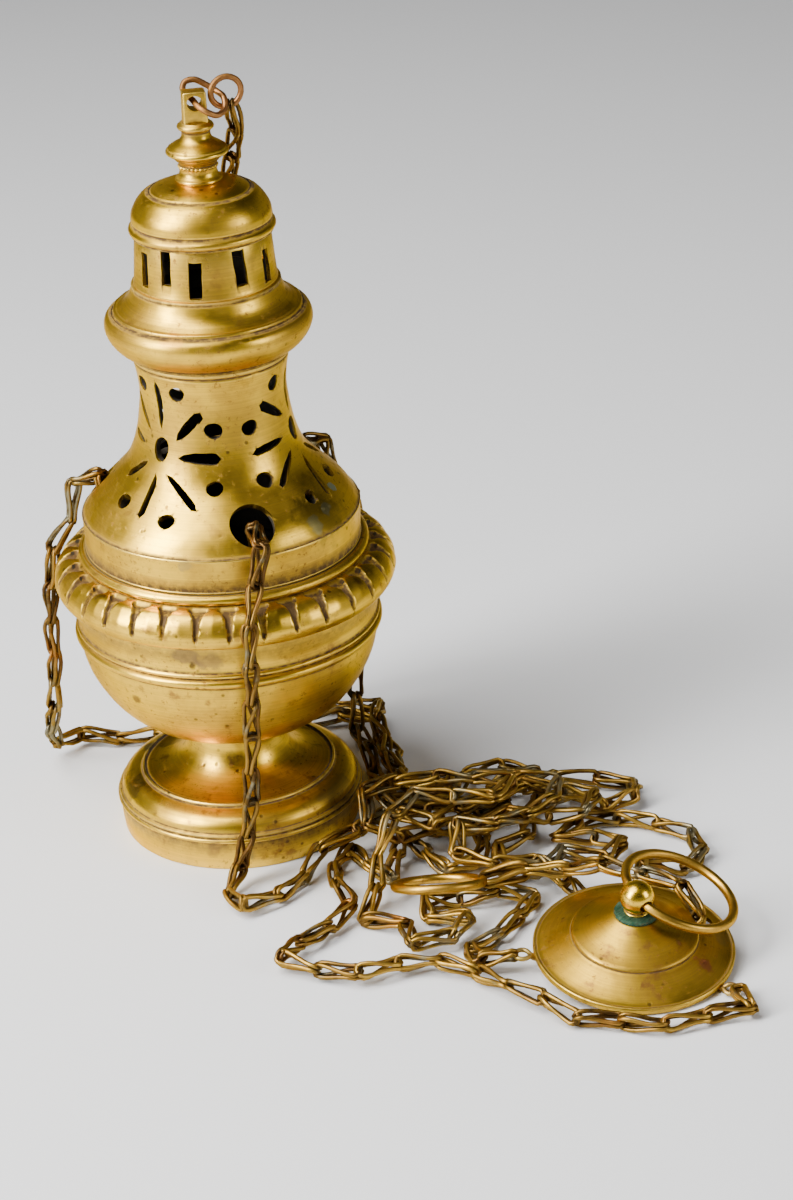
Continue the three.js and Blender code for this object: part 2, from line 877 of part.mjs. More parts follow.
function discProfile() {
  const s = discShoulderRadius;
  const sh = discShoulderHeight;
  const w = discWall;
  const outer = [
    [discRadius, 0],
    [discRadius, 1.7],
    [discRadius - 4.4, 3.1],
    [s + 3.4, sh - 2.1],
    [s + 0.4, sh - 0.2],
    [s - 0.8, sh + 0.1],
    [s - 4.8, sh + 2.4],
    [s - 8.4, sh + 4.6],
    [washerRadius, discHeight],
  ];
  const inner = [
    [ballRadius / 2 + seatGap, discHeight],
    [ballRadius / 2 + seatGap, discHeight - w],
    [washerRadius, discHeight - w],
    [s - 8.8, sh + 4.6 - w],
    [s - 1.4, sh + 0.1 - w],
    [s + 0.4, sh - 0.7 - w],
    [discRadius - 4.8, 3 - w],
    [discRadius - w - 0.4, 0.6],
    [discRadius - w, 0],
  ];
  return [...outer, ...inner];
}

const lidChainHole = cylinder(lidChainHoleRadius, -5, 20, 12).translate(lidChainHoleX, lidChainHoleY, 0);
place('handle_disc', cut(turned(discProfile(), 30), [lidChainHole]), brass, handle);

const stemR = ballRadius / 2;
const washerTop = discHeight + washerHeight;
place('handle_washer', sleeve(washerRadius, stemR + seatGap, discHeight, washerTop, 14), verdigris, handle);

const boreAlong = new THREE.Vector3(
  Math.cos(degrees(ringBoreRise)) * Math.cos(degrees(ringBoreAzimuth)),
  Math.cos(degrees(ringBoreRise)) * Math.sin(degrees(ringBoreAzimuth)),
  Math.sin(degrees(ringBoreRise)),
);
const boreTurn = new THREE.Quaternion().setFromUnitVectors(new THREE.Vector3(0, 0, 1), boreAlong);

function ballGeometry() {
  const nutBase = discHeight - discWall - nutHeight;
  const arc = [];
  const seatAngle = Math.acos(stemR / ballRadius);
  for (let i = 0; i <= 7; i++) {
    const angle = -seatAngle + (i / 7) * (seatAngle + Math.PI / 2);
    arc.push([i === 7 ? 0 : ballRadius * Math.cos(angle), ballCentre + ballRadius * Math.sin(angle)]);
  }
  const profile = [
    [0, nutBase - 0.8],
    [stemR, nutBase - 0.8],
    [stemR, washerTop],
    [stemR + 1, washerTop],
    ...arc,
  ];
  const bore = cylinder(ringWire + ringBoreClearance, -2 * ballRadius, 2 * ballRadius, 10);
  bore.applyQuaternion(boreTurn).translate(0, 0, ballCentre);
  return cut(turned(profile, 14), [bore]);
}

place('handle_ball', ballGeometry(), brass, handle);
place(
  'handle_nut',
  hexNut(boltHeadRadius, stemR + seatGap, discHeight - discWall - nutHeight, discHeight - discWall),
  darkBrass,
  handle,
);

// Handle ring: hangs through the ball's bore and leans out over the disc's right edge

const boreSide = new THREE.Vector3(Math.sin(degrees(ringBoreAzimuth)), -Math.cos(degrees(ringBoreAzimuth)), 0);
const boreUp = new THREE.Vector3().crossVectors(boreSide, boreAlong);
if (boreUp.z < 0) boreUp.negate();
const ringOut = boreSide.clone().multiplyScalar(Math.cos(degrees(ringDroop)));
ringOut.addScaledVector(boreUp, -Math.sin(degrees(ringDroop)));
const ringNormal = new THREE.Vector3().crossVectors(ringOut, boreAlong).normalize();
const ringBasis = new THREE.Matrix4().makeBasis(ringOut, boreAlong, ringNormal);
const ringGeometry = torus(ringRadius, ringWire, 26, 6).applyMatrix4(ringBasis);
ringGeometry.translate(ringOut.x * ringRadius, ringOut.y * ringRadius, ballCentre + ringOut.z * ringRadius);
place('handle_ring', ringGeometry, brass, handle);

// Eyelets on the disc's edge, one for each suspension chain

for (const [name, azimuth] of Object.entries(eyeletAzimuths)) {
  const eyelet = torus(eyeletRadius, eyeletWire, 10, 5);
  eyelet.translate(discRadius + 0.2 + seatGap + eyeletRadius + eyeletWire, 0, eyeletHeight);
  place(`disc_eyelet_${name}`, eyelet.rotateZ(degrees(azimuth)), darkBrass, handle);
}

// The origin lies under the middle of the box round the censer and its handle

root.updateMatrixWorld(true);
const box = new THREE.Box3().setFromObject(root, true);
const middle = box.getCenter(new THREE.Vector3());

// Chains: each chain is one line along its lie, cut into stretches where it passes from one
// moving piece to the next. A point is [x, y, z] from the censer's axis at floor level, and
// one without a height lies on the floor.

const low = (points) => points.map(([x, y, z = chainFloor]) => new THREE.Vector3(x, y, z));
const high = (layer, points) => points.map(([x, y, z = chainFloor + layer * chainLayer]) => new THREE.Vector3(x, y, z));
const polar = (points) => points.map(([r, azimuth, z]) => around(r, azimuth, z));
handle.updateMatrixWorld(true);
const onHandle = (points) => points.map(([x, y, z]) => handle.localToWorld(new THREE.Vector3(x, y, z)));

class Stretch extends THREE.Curve {
  constructor(whole, from, to) {
    super();
    Object.assign(this, { whole, from, to });
  }

  getPoint(t, target = new THREE.Vector3()) {
    return this.whole.getPoint(this.from + (this.to - this.from) * t, target);
  }

  // Steps along the stretch follow its points, which stand closer together in the bends.
  getUtoTmapping(u) {
    return u;
  }
}

// Each entry of sections is a group of points with the name of the stretch that ends there.
function chain(sections) {
  const points = sections.flatMap(([, list]) => list);
  const whole = new THREE.CatmullRomCurve3(points, false, 'centripetal');
  const finer = 40;
  whole.arcLengthDivisions = finer * (points.length - 1);
  const lengths = whole.getLengths();
  const total = lengths[lengths.length - 1];
  let last = -1;
  let from = 0;
  for (const [name, list] of sections) {
    last += list.length;
    const to = lengths[finer * last];
    const stretch = new Stretch(whole, whole.getUtoTmapping(from / total), whole.getUtoTmapping(to / total));
    place(name, tube(stretch, chainTube, Math.round(list.length * chainSteps), chainSides), chainBrass);
    from = to + seatGap;
  }
}

const holeHeight = rimTop + chainHoleHeight;
const holeRadius = bellWallAt(holeHeight).r;
const besideSkirt = skirtRadius + chainTube + 2;
const besideRim = gadroonRadius + chainTube + chainClear;
const overRim = besideRim - 5.6;
const lugStart = lugTop + seatGap + 0.1;

// Inside the lid each chain rises from its lug to the hole in the bell
function innerStretch(azimuth) {
  return polar([
    [lugEyeCentre - 2, azimuth, lugStart],
    [lugEyeCentre - 2.1, azimuth, lugStart + 2.4],
    [holeRadius - 2.6, azimuth + 3, rimTop + 5],
    [holeRadius - 3, azimuth - 1, rimTop + 10.6],
    [holeRadius - 1.2, azimuth, rimTop + 16],
    [holeRadius + 1.4, azimuth, holeHeight],
  ]);
}

// Outside it bends over the hole's lower edge and falls past the skirt and the gadroons
function dropStretch(azimuth, lean, floorPoints) {
  return [
    ...polar([
      [holeRadius + 5.2, azimuth, holeHeight + 2.6],
      [besideSkirt - 1.6, azimuth, holeHeight + 1.6],
      [besideSkirt, azimuth + lean * 0.1, rimTop + 16],
      [besideSkirt + 0.4, azimuth + lean * 0.3, rimTop + 10],
      [besideSkirt + 1.2, azimuth + lean * 0.5, rimTop + 4.6],
      [overRim, azimuth + lean * 0.8, rimTop - 0.2],
      [besideRim - 1.4, azimuth + lean, rimTop - 5],
      [besideRim + 0.4, azimuth + lean, rimTop - 12],
    ]),
    ...low(floorPoints),
  ];
}

// The last links before an eyelet of the handle disc
function toEyelet(name, lift) {
  const angle = degrees(eyeletAzimuths[name]);
  const reach = discRadius + 0.2 + 2 * seatGap + 2 * (eyeletRadius + eyeletWire);
  return onHandle([3, 0.05].map((more) => [
    (reach + more) * Math.cos(angle),
    (reach + more) * Math.sin(angle),
    eyeletHeight + lift,
  ]));
}

// Front chain: down in front of the foot, over the pile, then to the eyelet on the left

chain([
  ['chain_front_inner', innerStretch(holeAzimuths[0])],
  ['chain_front_drop', dropStretch(holeAzimuths[0], -8, [
    [5.6, -56.6, 76], [4.9, -55.4, 62], [3.9, -53.4, 46], [2.6, -50.6, 30], [0.9, -47.8, 15], [-1.4, -47.6, 6.4],
  ])],
  ['chain_front_floor', [
    ...low([
      [-3.2, -50.6, 3], [-6.6, -56], [-7.4, -62.5], [-1, -67.4], [7.5, -63.5], [13.5, -55.5],
      [19, -47.5, 4], [27, -39.5, 8.3],
    ]),
    ...high(1, [
      [36, -33], [45, -27.5], [56, -25], [66.5, -28], [76, -24.5], [84, -15.5], [92.5, -12],
      [102, -16], [110.5, -23], [112.5, -33], [105, -39], [96, -34], [86.5, -31.5], [76.5, -37],
      [66, -40], [56, -36], [47.5, -39.6, 9], [40.4, -42, 12.5], [36.6, -35.6, 17],
    ]),
    ...high(3, [
      [41, -27], [50, -23], [59, -26], [68, -30], [77, -27], [84.5, -31], [83, -39.5], [74, -41.5],
      [65, -37], [56, -35], [49.5, -40], [45, -47, 16], [41.5, -54.5, 11], [39.3, -62, 7],
    ]),
    ...low([
      [38.4, -69.5, 4], [35.6, -76], [37.4, -82], [43.6, -83.4], [47, -87.4], [46.6, -94.4], [53, -98],
      [61, -96], [66, -90.4], [66, -84.2], [61, -80.3], [54, -79], [50.3, -73.5], [54.5, -68.6],
      [61.5, -69.6], [69, -73.5], [77, -69.5], [86.5, -71.5], [87.8, -80.4], [79.5, -84.5],
      [73.4, -92], [66.8, -98.5], [64.4, -106, 3.4], [68.4, -110.2, 5.2],
    ]),
    ...toEyelet('left', 0),
  ]],
]);

// Left chain: down at the back left, behind the foot and round the far side of the pile

chain([
  ['chain_left_inner', innerStretch(holeAzimuths[1])],
  ['chain_left_drop', dropStretch(holeAzimuths[1], 1, [
    [-56.6, 16, 76], [-57, 18, 60], [-58, 22, 44], [-59.8, 28, 29], [-61.8, 36, 15], [-61.2, 43.6, 6.4],
  ])],
  ['chain_left_floor', [
    ...low([
      [-58.4, 48, 3.2], [-52.5, 51.5], [-42, 51], [-29, 50.5], [-14, 47.8], [2, 47], [16, 48.6],
      [29, 52], [40, 53], [47.8, 46.5], [49.6, 36], [50.8, 25], [51.6, 14], [53.5, 3], [60.5, -5],
      [69, -4.5], [73.5, 4], [81, 9.5], [90, 10.4], [96, 8.2], [97, 3.2], [91.5, 0.4], [84.5, -0.2],
      [79.7, -2.8], [80.6, -7.6], [87, -8.8], [95.5, -4.8], [104, -2], [114, -2], [124.5, -4.5],
      [130.5, -12.5], [125.5, -21.5], [115.5, -20], [107, -13.5], [98, -10.5], [91.5, -17.5],
      [91.8, -28], [88, -38], [80.5, -44], [79.6, -52.5], [81, -59.4], [85.6, -62.4], [90, -60],
      [93, -54.6], [98.4, -51.4], [105, -51.4], [112.5, -54], [119.3, -50.6], [119.3, -43.6],
      [113, -40.4], [105.5, -41.6], [99.7, -37.5], [101, -30.6], [107.5, -28.4], [115.5, -29.2],
      [123.5, -30], [133, -33.5], [141, -41.5], [145, -51.5], [140.5, -60], [132.5, -61, 3],
      [126, -61.4, 5.8], [122.2, -64.6, 8.4],
    ]),
    ...toEyelet('back', 0),
  ]],
]);

// Right chain: down at the back right, out past the foot and round the front of the disc

chain([
  ['chain_right_inner', innerStretch(holeAzimuths[2])],
  ['chain_right_drop', dropStretch(holeAzimuths[2], -4.5, [
    [44.4, 37.8, 74], [43.4, 38.8, 58], [42.4, 39.2, 42], [41.2, 39.8, 26], [40.4, 40.4, 14], [40.4, 38.8, 6],
  ])],
  ['chain_right_floor', [
    ...low([
      [41, 34.4, 3.2], [42.6, 27.5], [44.6, 18.5], [45.8, 8], [46.2, -3.5], [50.5, -11.8],
      [59.5, -13.4], [69.5, -11.6], [78.5, -13.2], [83.8, -16.8], [82.8, -22], [76.5, -22.8],
      [69, -20], [63, -20], [58, -22.6], [58, -27.2], [63, -29], [69, -28], [76.5, -30.5], [77, -37.5],
      [71, -43.5], [71, -50.5], [66, -54.2], [60, -52], [57.5, -45.5], [57, -38], [52.5, -33.6],
      [47, -36], [46, -43.5], [47.8, -51], [44.5, -56], [39.5, -53.5], [38.3, -46], [36.5, -39],
      [31, -37.2], [27, -44.5], [28.5, -58], [30.5, -70], [25.5, -81.5], [15.5, -88], [8.2, -94.6],
      [11, -103.5], [20.5, -106.5], [30, -109], [38.5, -110.5], [46.5, -106.8], [56, -106.8],
      [63, -113.5], [71, -119.5], [79, -126.5], [85.5, -136], [94.5, -142], [104, -145.5],
      [114, -146.6], [124, -146.4], [134, -145], [141, -142.6, 3.4],
    ]),
    ...toEyelet('front', 1.4),
  ]],
]);

// Lid chain: from the joining ring down behind the lid, over the pile, under the disc's
// raised back edge, up through its hole and across it to the pull ring

const besideCollar = collarRadius + chainTube + 1.5;
chain([
  ['lid_chain_top', [
    ...low([[12.1, 2.4, eyeHeight - 3.8], [12.9, 3.6, eyeHeight - 6.6], [12.4, 8.2, eyeHeight - 12]]),
    ...polar([
      [17.6, 52.9, domeTop + 4.3],
      [domeRadius + 0.4, 64.4, domeTop - 5.2],
      [domeRadius + chainTube + 1.9, 71, drumTop + 1.1],
      [besideCollar - 6.4, 75.3, collarTop + 5.8],
      [besideCollar - 2.9, 80.1, collarTop - 3.2],
      [besideCollar, 83.9, bellTop + 10.5],
      [besideCollar + 1.3, 86.3, bellTop - 2],
      [39.4, 88, rimTop + 47.4],
      [43.2, 89.5, rimTop + 32.4],
      [besideSkirt - 1, 90.5, rimTop + 18],
    ]),
  ]],
  ['lid_chain_drop', [
    ...polar([
      [besideSkirt + 1.1, 91.4, rimTop + 6.9],
      [overRim + 0.4, 91.8, rimTop + 0.4],
      [besideRim - 0.7, 92, rimTop - 6.1],
      [besideRim + 0.8, 92, rimTop - 14.6],
    ]),
    ...low([[-2, 57.4, 66], [-1.9, 57, 48], [-1.4, 57.4, 30], [0.2, 58.4, 14], [3, 60.6, 6]]),
  ]],
  ['lid_chain_floor', [
    ...low([
      [8, 62.4, 2.9], [16, 61.5], [27, 61], [37.5, 61], [46.5, 55.5, 4.4], [49.2, 45.5, 8.4],
    ]),
    ...high(1, [
      [47.4, 33], [48.2, 20], [50, 7.5], [53.6, -2.4], [58, -11, 11.2],
    ]),
    ...high(2, [
      [64.5, -15.4], [70.6, -17.4], [71.2, -23], [65.4, -25.6], [57.5, -21.6], [49, -20.5],
      [44.5, -28.5], [48, -37.5], [57, -42.5], [66, -39], [72, -31.5], [79.5, -26], [87, -20.5],
      [96, -18.5], [102.5, -23.5], [100, -31], [92.5, -35], [89.5, -43], [80, -47], [70.5, -44.6],
      [63.8, -47.6, 13.4], [63.8, -54.6, 10.8], [71, -58, 8.8], [83, -61, 8.4], [92.5, -60.5, 7.4],
      [99, -67.4, 4.2],
    ]),
  ]],
  ['lid_chain_under_disc', [
    ...low([[102, -75, 2.8], [104.5, -83], [109.5, -92], [118, -98.6], [126.5, -101.2]]),
    ...onHandle([
      [lidChainHoleX - 2.6, lidChainHoleY - 0.8, -1.2],
      [lidChainHoleX - 0.3, lidChainHoleY - 0.1, 1.4],
      [lidChainHoleX, lidChainHoleY, 6],
    ]),
  ]],
  ['lid_chain_end', [
    ...onHandle([
      [lidChainHoleX - 0.1, lidChainHoleY + 0.2, 8.6],
      [lidChainHoleX - 2.4, lidChainHoleY + 3.4, 11.2],
      [16, 14.6, 11.4],
      [10.5, 20, 10.4],
      [3.5, 25.6, 9.6],
      [-5.5, 31, 9],
    ]),
    ...low([
      [99, -71.6, 11.2], [90.5, -68.4, 10.6], [82, -70.6, 9.4],
      [pullRingX + pullRingRadius + pullRingWire + 3, pullRingY, pullRingZ + 0.2],
      [pullRingX + pullRingRadius + pullRingWire + seatGap, pullRingY, pullRingZ],
    ]),
  ]],
]);

const pullRing = torus(pullRingRadius, pullRingWire, 20, 6).rotateX(degrees(-pullRingLean));
place('pull_ring', pullRing.translate(pullRingX, pullRingY, pullRingZ), brass);

for (const child of root.children) {
  child.position.x -= middle.x;
  child.position.y -= middle.y;
}

export default root;
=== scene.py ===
# Looks of the hanging brass censer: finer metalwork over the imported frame, folded wire links
# along the four chains, worn brass, and the camera, the lights and the floor.
# Sizes and points are in millimetres and heights start at the floor. A place is measured
# from the censer's axis, unless it is said to lie on the handle disc.

import math

import bpy
import numpy as np
from mathutils import Matrix, Vector


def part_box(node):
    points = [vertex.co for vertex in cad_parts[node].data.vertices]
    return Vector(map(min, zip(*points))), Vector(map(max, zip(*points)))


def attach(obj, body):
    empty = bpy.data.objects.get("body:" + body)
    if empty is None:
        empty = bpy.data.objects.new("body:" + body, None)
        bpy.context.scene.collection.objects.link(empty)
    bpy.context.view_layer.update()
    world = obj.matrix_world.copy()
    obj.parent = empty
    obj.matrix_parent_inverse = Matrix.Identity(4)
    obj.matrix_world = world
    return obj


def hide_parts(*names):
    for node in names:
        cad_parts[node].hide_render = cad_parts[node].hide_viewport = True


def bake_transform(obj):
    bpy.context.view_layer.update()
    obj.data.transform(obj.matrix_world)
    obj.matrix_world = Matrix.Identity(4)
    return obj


MM = 0.001
SEED = 11

# The frame

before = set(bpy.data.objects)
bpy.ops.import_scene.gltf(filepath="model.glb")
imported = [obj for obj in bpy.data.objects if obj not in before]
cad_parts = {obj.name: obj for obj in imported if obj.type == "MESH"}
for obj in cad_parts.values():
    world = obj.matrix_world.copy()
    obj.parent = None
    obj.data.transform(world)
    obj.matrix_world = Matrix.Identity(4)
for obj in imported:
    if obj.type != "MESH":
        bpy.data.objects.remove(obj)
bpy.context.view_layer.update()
bpy.ops.object.select_all(action="DESELECT")

foot_low, foot_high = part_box("foot")
AXIS = Vector(((foot_low[0] + foot_high[0]) / 2, (foot_low[1] + foot_high[1]) / 2, 0.0))


def at(x, y, z):
    """A point given from the censer's axis in millimetres, in the frame's metres."""
    return Vector((AXIS.x + x * MM, AXIS.y + y * MM, z * MM))


def around(radius, azimuth, z):
    """A point on a round wall of the censer, from its radius, azimuth in degrees and height."""
    angle = math.radians(azimuth)
    return (radius * math.cos(angle), radius * math.sin(angle), z)


def shift(x, y, z):
    """A move in millimetres."""
    return Matrix.Translation((x * MM, y * MM, z * MM))


def rotation(degrees, axis):
    return Matrix.Rotation(math.radians(degrees), 4, axis)


def add_object(name, data):
    """A new object of the scene, with that data."""
    made = bpy.data.objects.new(name, data)
    bpy.context.scene.collection.objects.link(made)
    return made


# Heights of the stack of pieces
BOWL_BASE = 34.6
BOWL_TOP = 84.6
RIM_TOP = 98.6
BELL_TOP = 162.0
COLLAR_TOP = 184.2
DRUM_TOP = 199.4
DOME_TOP = 215.2
BLOCK_BASE = 233.4
CENSER_TOP = 242.6
EYE_HEIGHT = 239.29

# Sizes shared by several pieces
WALL = 1.8
RIM_BORE = 41.8
DRUM_RADIUS = 21.7
DRUM_TOP_RADIUS = 20.6
GADROON_COUNT = 32
CHAIN_HOLE_RADIUS = 7.0
CHAIN_HOLE_HEIGHT = 117.6
HOLE_AZIMUTHS = {"front": -76, "left": 164, "right": 44}

# The handle disc, which lies askew on the floor, and the places of what it carries
DISC_PLACE = (113.2, -108.6, 3.9)
DISC_LEAN_FORWARD = 6.9
DISC_LEAN_RIGHT = 2.34
BALL_CENTRE = 19.7
RING_RADIUS = 17.3
DISC_HOLE = (21.2, 7.4)
EYELET_AZIMUTHS = {"front": -40, "left": 183, "back": 78}
DISC_TURN = rotation(DISC_LEAN_RIGHT, "Y") @ rotation(DISC_LEAN_FORWARD, "X")
DISC_CENTRE = at(*DISC_PLACE)
DISC_EULER = tuple(DISC_TURN.to_euler())
DISC_MATRIX = Matrix.Translation(DISC_CENTRE) @ DISC_TURN


def on_disc(x, y, z):
    """A point given on the handle disc, as a point from the censer's axis."""
    p = DISC_MATRIX @ Vector((x * MM, y * MM, z * MM))
    return ((p.x - AXIS.x) / MM, (p.y - AXIS.y) / MM, p.z / MM)


# Camera, at the photograph's angle

PICTURE_HEIGHT = 1200
FOCAL_PIXELS = 3135
SENSOR = 36.0
CAMERA_PLACE = (0.0, -897.3, 506.0)
CAMERA_YAW = 3.41
CAMERA_PITCH = 25.77
CAMERA_ROLL = -2.45


def add_camera():
    data = bpy.data.cameras.new("photograph_camera")
    data.sensor_width = SENSOR
    data.lens = SENSOR * FOCAL_PIXELS / PICTURE_HEIGHT
    data.clip_end = 20
    camera = add_object("photograph_camera", data)
    turn = rotation(-CAMERA_YAW, "Z") @ rotation(90 - CAMERA_PITCH, "X") @ rotation(CAMERA_ROLL, "Z")
    camera.matrix_world = Matrix.Translation(at(*CAMERA_PLACE)) @ turn
    bpy.context.scene.camera = camera


add_camera()


# Shader helpers


class Nodes:
    """One node tree, and short calls that add nodes to it and join them up."""

    def __init__(self, tree):
        self.tree = tree

    def feed(self, made, inputs):
        """Joins outputs to the inputs of a node, or gives them numbers and colours."""
        for label, value in inputs.items():
            socket = made.inputs[label]
            if isinstance(value, bpy.types.NodeSocket):
                self.tree.links.new(value, socket)
            else:
                socket.default_value = (*value, 1.0) if socket.type == "RGBA" else value
        return made.outputs

    def add(self, kind, inputs, **settings):
        """Adds a node with its settings, feeds it and returns its outputs."""
        made = self.tree.nodes.new(kind)
        for name, value in settings.items():
            setattr(made, name, value)
        return self.feed(made, inputs)

    def position(self, centre, turn):
        """Object coordinates, from the middle of a turned piece and square to it."""
        place = self.add("ShaderNodeTexCoord", {})["Object"]
        inputs = {"Vector": place, "Location": centre, "Rotation": turn}
        return self.add("ShaderNodeMapping", inputs, vector_type="TEXTURE")["Vector"]

    def attribute(self, name):
        return self.add("ShaderNodeAttribute", {}, attribute_name=name)["Fac"]

    def noise(self, vector, scale, detail=4.0, roughness=0.55):
        inputs = {"Vector": vector, "Scale": scale, "Detail": detail, "Roughness": roughness}
        return self.add("ShaderNodeTexNoise", inputs)["Fac"]

    def spread(self, value, low, high, to_low=0.0, to_high=1.0):
        """The value spread from low..high to to_low..to_high, and held there outside."""
        inputs = {"Value": value, "From Min": low, "From Max": high, "To Min": to_low, "To Max": to_high}
        return self.add("ShaderNodeMapRange", inputs, interpolation_type="SMOOTHSTEP")["Result"]

    def maths(self, operation, *values, clamp=False):
        inputs = dict(enumerate(values))
        return self.add("ShaderNodeMath", inputs, operation=operation, use_clamp=clamp)["Value"]

    def times(self, a, b, clamp=False):
        return self.maths("MULTIPLY", a, b, clamp=clamp)

    def plus(self, a, b, clamp=False):
        return self.maths("ADD", a, b, clamp=clamp)

    def summed(self, total, *parts):
        """The total plus each mask of the parts times its weight."""
        for mask, weight in parts:
            total = self.plus(total, self.times(mask, weight))
        return total

    def layered(self, colour, *layers):
        """The colour with others laid over it one after the other, each by its mask."""
        for mask, over in layers:
            inputs = {"Factor": mask, 6: colour, 7: over}
            colour = self.add("ShaderNodeMix", inputs, data_type="RGBA")[2]
        return colour

    def bump(self, height, strength, distance):
        """The normal over small heights. The distance is how far a height of 1 stands out."""
        inputs = {"Height": height, "Strength": strength, "Distance": distance * MM}
        return self.add("ShaderNodeBump", inputs)["Normal"]


def new_group(name, inputs, outputs):
    """A node group with named sockets. It returns its nodes, its inputs and its output node."""
    tree = bpy.data.node_groups.new(name, "ShaderNodeTree")
    for way, sockets in (("INPUT", inputs), ("OUTPUT", outputs)):
        for label, kind in sockets.items():
            tree.interface.new_socket(label, in_out=way, socket_type=kind)
    nodes = Nodes(tree)
    return nodes, nodes.add("NodeGroupInput", {}), tree.nodes.new("NodeGroupOutput")


TARNISH_OUTPUTS = ("Clouds", "Spots", "Specks", "Pits", "Rings", "Dents")


def tarnish_group():
    """Clouds, spots, specks, pits and dents, and the rings that a lathe leaves."""
    nodes, given, out = new_group(
        "lathe_turned_tarnish",
        {"Position": "NodeSocketVector"},
        dict.fromkeys(TARNISH_OUTPUTS, "NodeSocketFloat"),
    )
    place = given["Position"]
    grain = nodes.spread(nodes.noise(place, 620, 3, 0.7), 0.57, 0.68)
    grainy = nodes.spread(nodes.noise(place, 90, 3), 0.38, 0.58)
    cells = nodes.add("ShaderNodeTexVoronoi", {"Vector": place, "Scale": 260})["Distance"]
    pitted = nodes.spread(nodes.noise(place, 70, 2), 0.52, 0.62)
    x, y, z = nodes.add("ShaderNodeSeparateXYZ", {"Vector": place})
    radius = nodes.maths("SQRT", nodes.plus(nodes.times(x, x), nodes.times(y, y)))
    round_the_axis = nodes.add("ShaderNodeCombineXYZ", {"X": radius, "Y": z})["Vector"]
    nodes.feed(out, {
        "Clouds": nodes.spread(nodes.noise(place, 34, 6, 0.62), 0.38, 0.66),
        "Spots": nodes.spread(nodes.noise(place, 150, 5, 0.6), 0.57, 0.72),
        "Specks": nodes.times(grain, grainy),
        "Pits": nodes.times(nodes.spread(cells, 0.1, 0.22, 1.0, 0.0), pitted),
        "Rings": nodes.noise(round_the_axis, 1500, 3, 0.7),
        "Dents": nodes.noise(place, 55, 3, 0.45),
    })
    return nodes.tree


def dirt_and_shade_group():
    """Old dirt in the hollows and in darkened bands, with painted shade in the bowl's band under the rim,
    and bare metal on the edges, from what the mesh says of itself.
    """
    nodes, given, out = new_group(
        "hollow_dirt_shade_and_edge_wear",
        {"Position": "NodeSocketVector", "Wear": "NodeSocketFloat"},
        {"DirtAndShade": "NodeSocketFloat", "Wear": "NodeSocketFloat"},
    )
    rough = nodes.noise(given["Position"], 420, 4, 0.65)
    hollow = nodes.maths("MAXIMUM", nodes.attribute("hollow"), nodes.attribute("grime_and_shade"))
    worn = nodes.times(nodes.attribute("edge"), nodes.spread(rough, 0.35, 0.6, 0.5, 1.0))
    nodes.feed(out, {
        "DirtAndShade": nodes.times(hollow, nodes.spread(rough, 0.3, 0.62, 0.55, 1.25), clamp=True),
        "Wear": nodes.times(worn, given["Wear"], clamp=True),
    })
    return nodes.tree


TARNISH = tarnish_group()
DIRT_AND_SHADE = dirt_and_shade_group()

# Colours, linear
YELLOW_BRASS = (0.77, 0.475, 0.028)
BRIGHT_BRASS = (0.94, 0.68, 0.14)
OLIVE_BRASS = (0.42, 0.245, 0.03)
DEEP_STAIN = (0.24, 0.11, 0.03)
ORANGE_BROWN = (0.38, 0.17, 0.04)
DARK_BRONZE = (0.07, 0.042, 0.016)
# The colour of dirt in the hollows and bands, and of the painted shade in the bowl's band under the rim
GROOVE_DIRT_AND_SHADE = (0.085, 0.046, 0.018)
VERDIGRIS = (0.20, 0.30, 0.20)
DEEP_GREEN = (0.022, 0.075, 0.045)
COPPER_BROWN = (0.30, 0.125, 0.045)
SOOT = (0.03, 0.028, 0.026)
GRAZING_TINT = (1.0, 0.80, 0.42)
WIRE_GOLD = (0.62, 0.385, 0.055)
WIRE_OLD_GOLD = (0.33, 0.18, 0.03)
WIRE_BRONZE = (0.05, 0.028, 0.009)
WIRE_BROWN = (0.12, 0.058, 0.016)
WIRE_RUST = (0.30, 0.115, 0.02)
WIRE_GREY_GREEN = (0.21, 0.19, 0.115)


def new_material(name):
    """A material, its nodes and its shader."""
    made = bpy.data.materials.new(name)
    made.use_nodes = True
    return made, Nodes(made.node_tree), made.node_tree.nodes["Principled BSDF"]


def marked(nodes, place, colour, marks):
    """Lays single stains on the colour. A mark has its place, radius, strength and colour."""
    ragged = nodes.noise(place, 210, 4, 0.5)
    for centre, radius, strength, stain in marks:
        size = radius * MM
        inputs = {0: place, 1: [c * MM for c in centre]}
        apart = nodes.add("ShaderNodeVectorMath", inputs, operation="DISTANCE")["Value"]
        reach = nodes.plus(apart, nodes.spread(ragged, 0.25, 0.75, -0.45 * size, 0.45 * size))
        mask = nodes.spread(reach, 0.6 * size, 1.15 * size, strength, 0.0)
        colour = nodes.layered(colour, (mask, stain))
    return colour


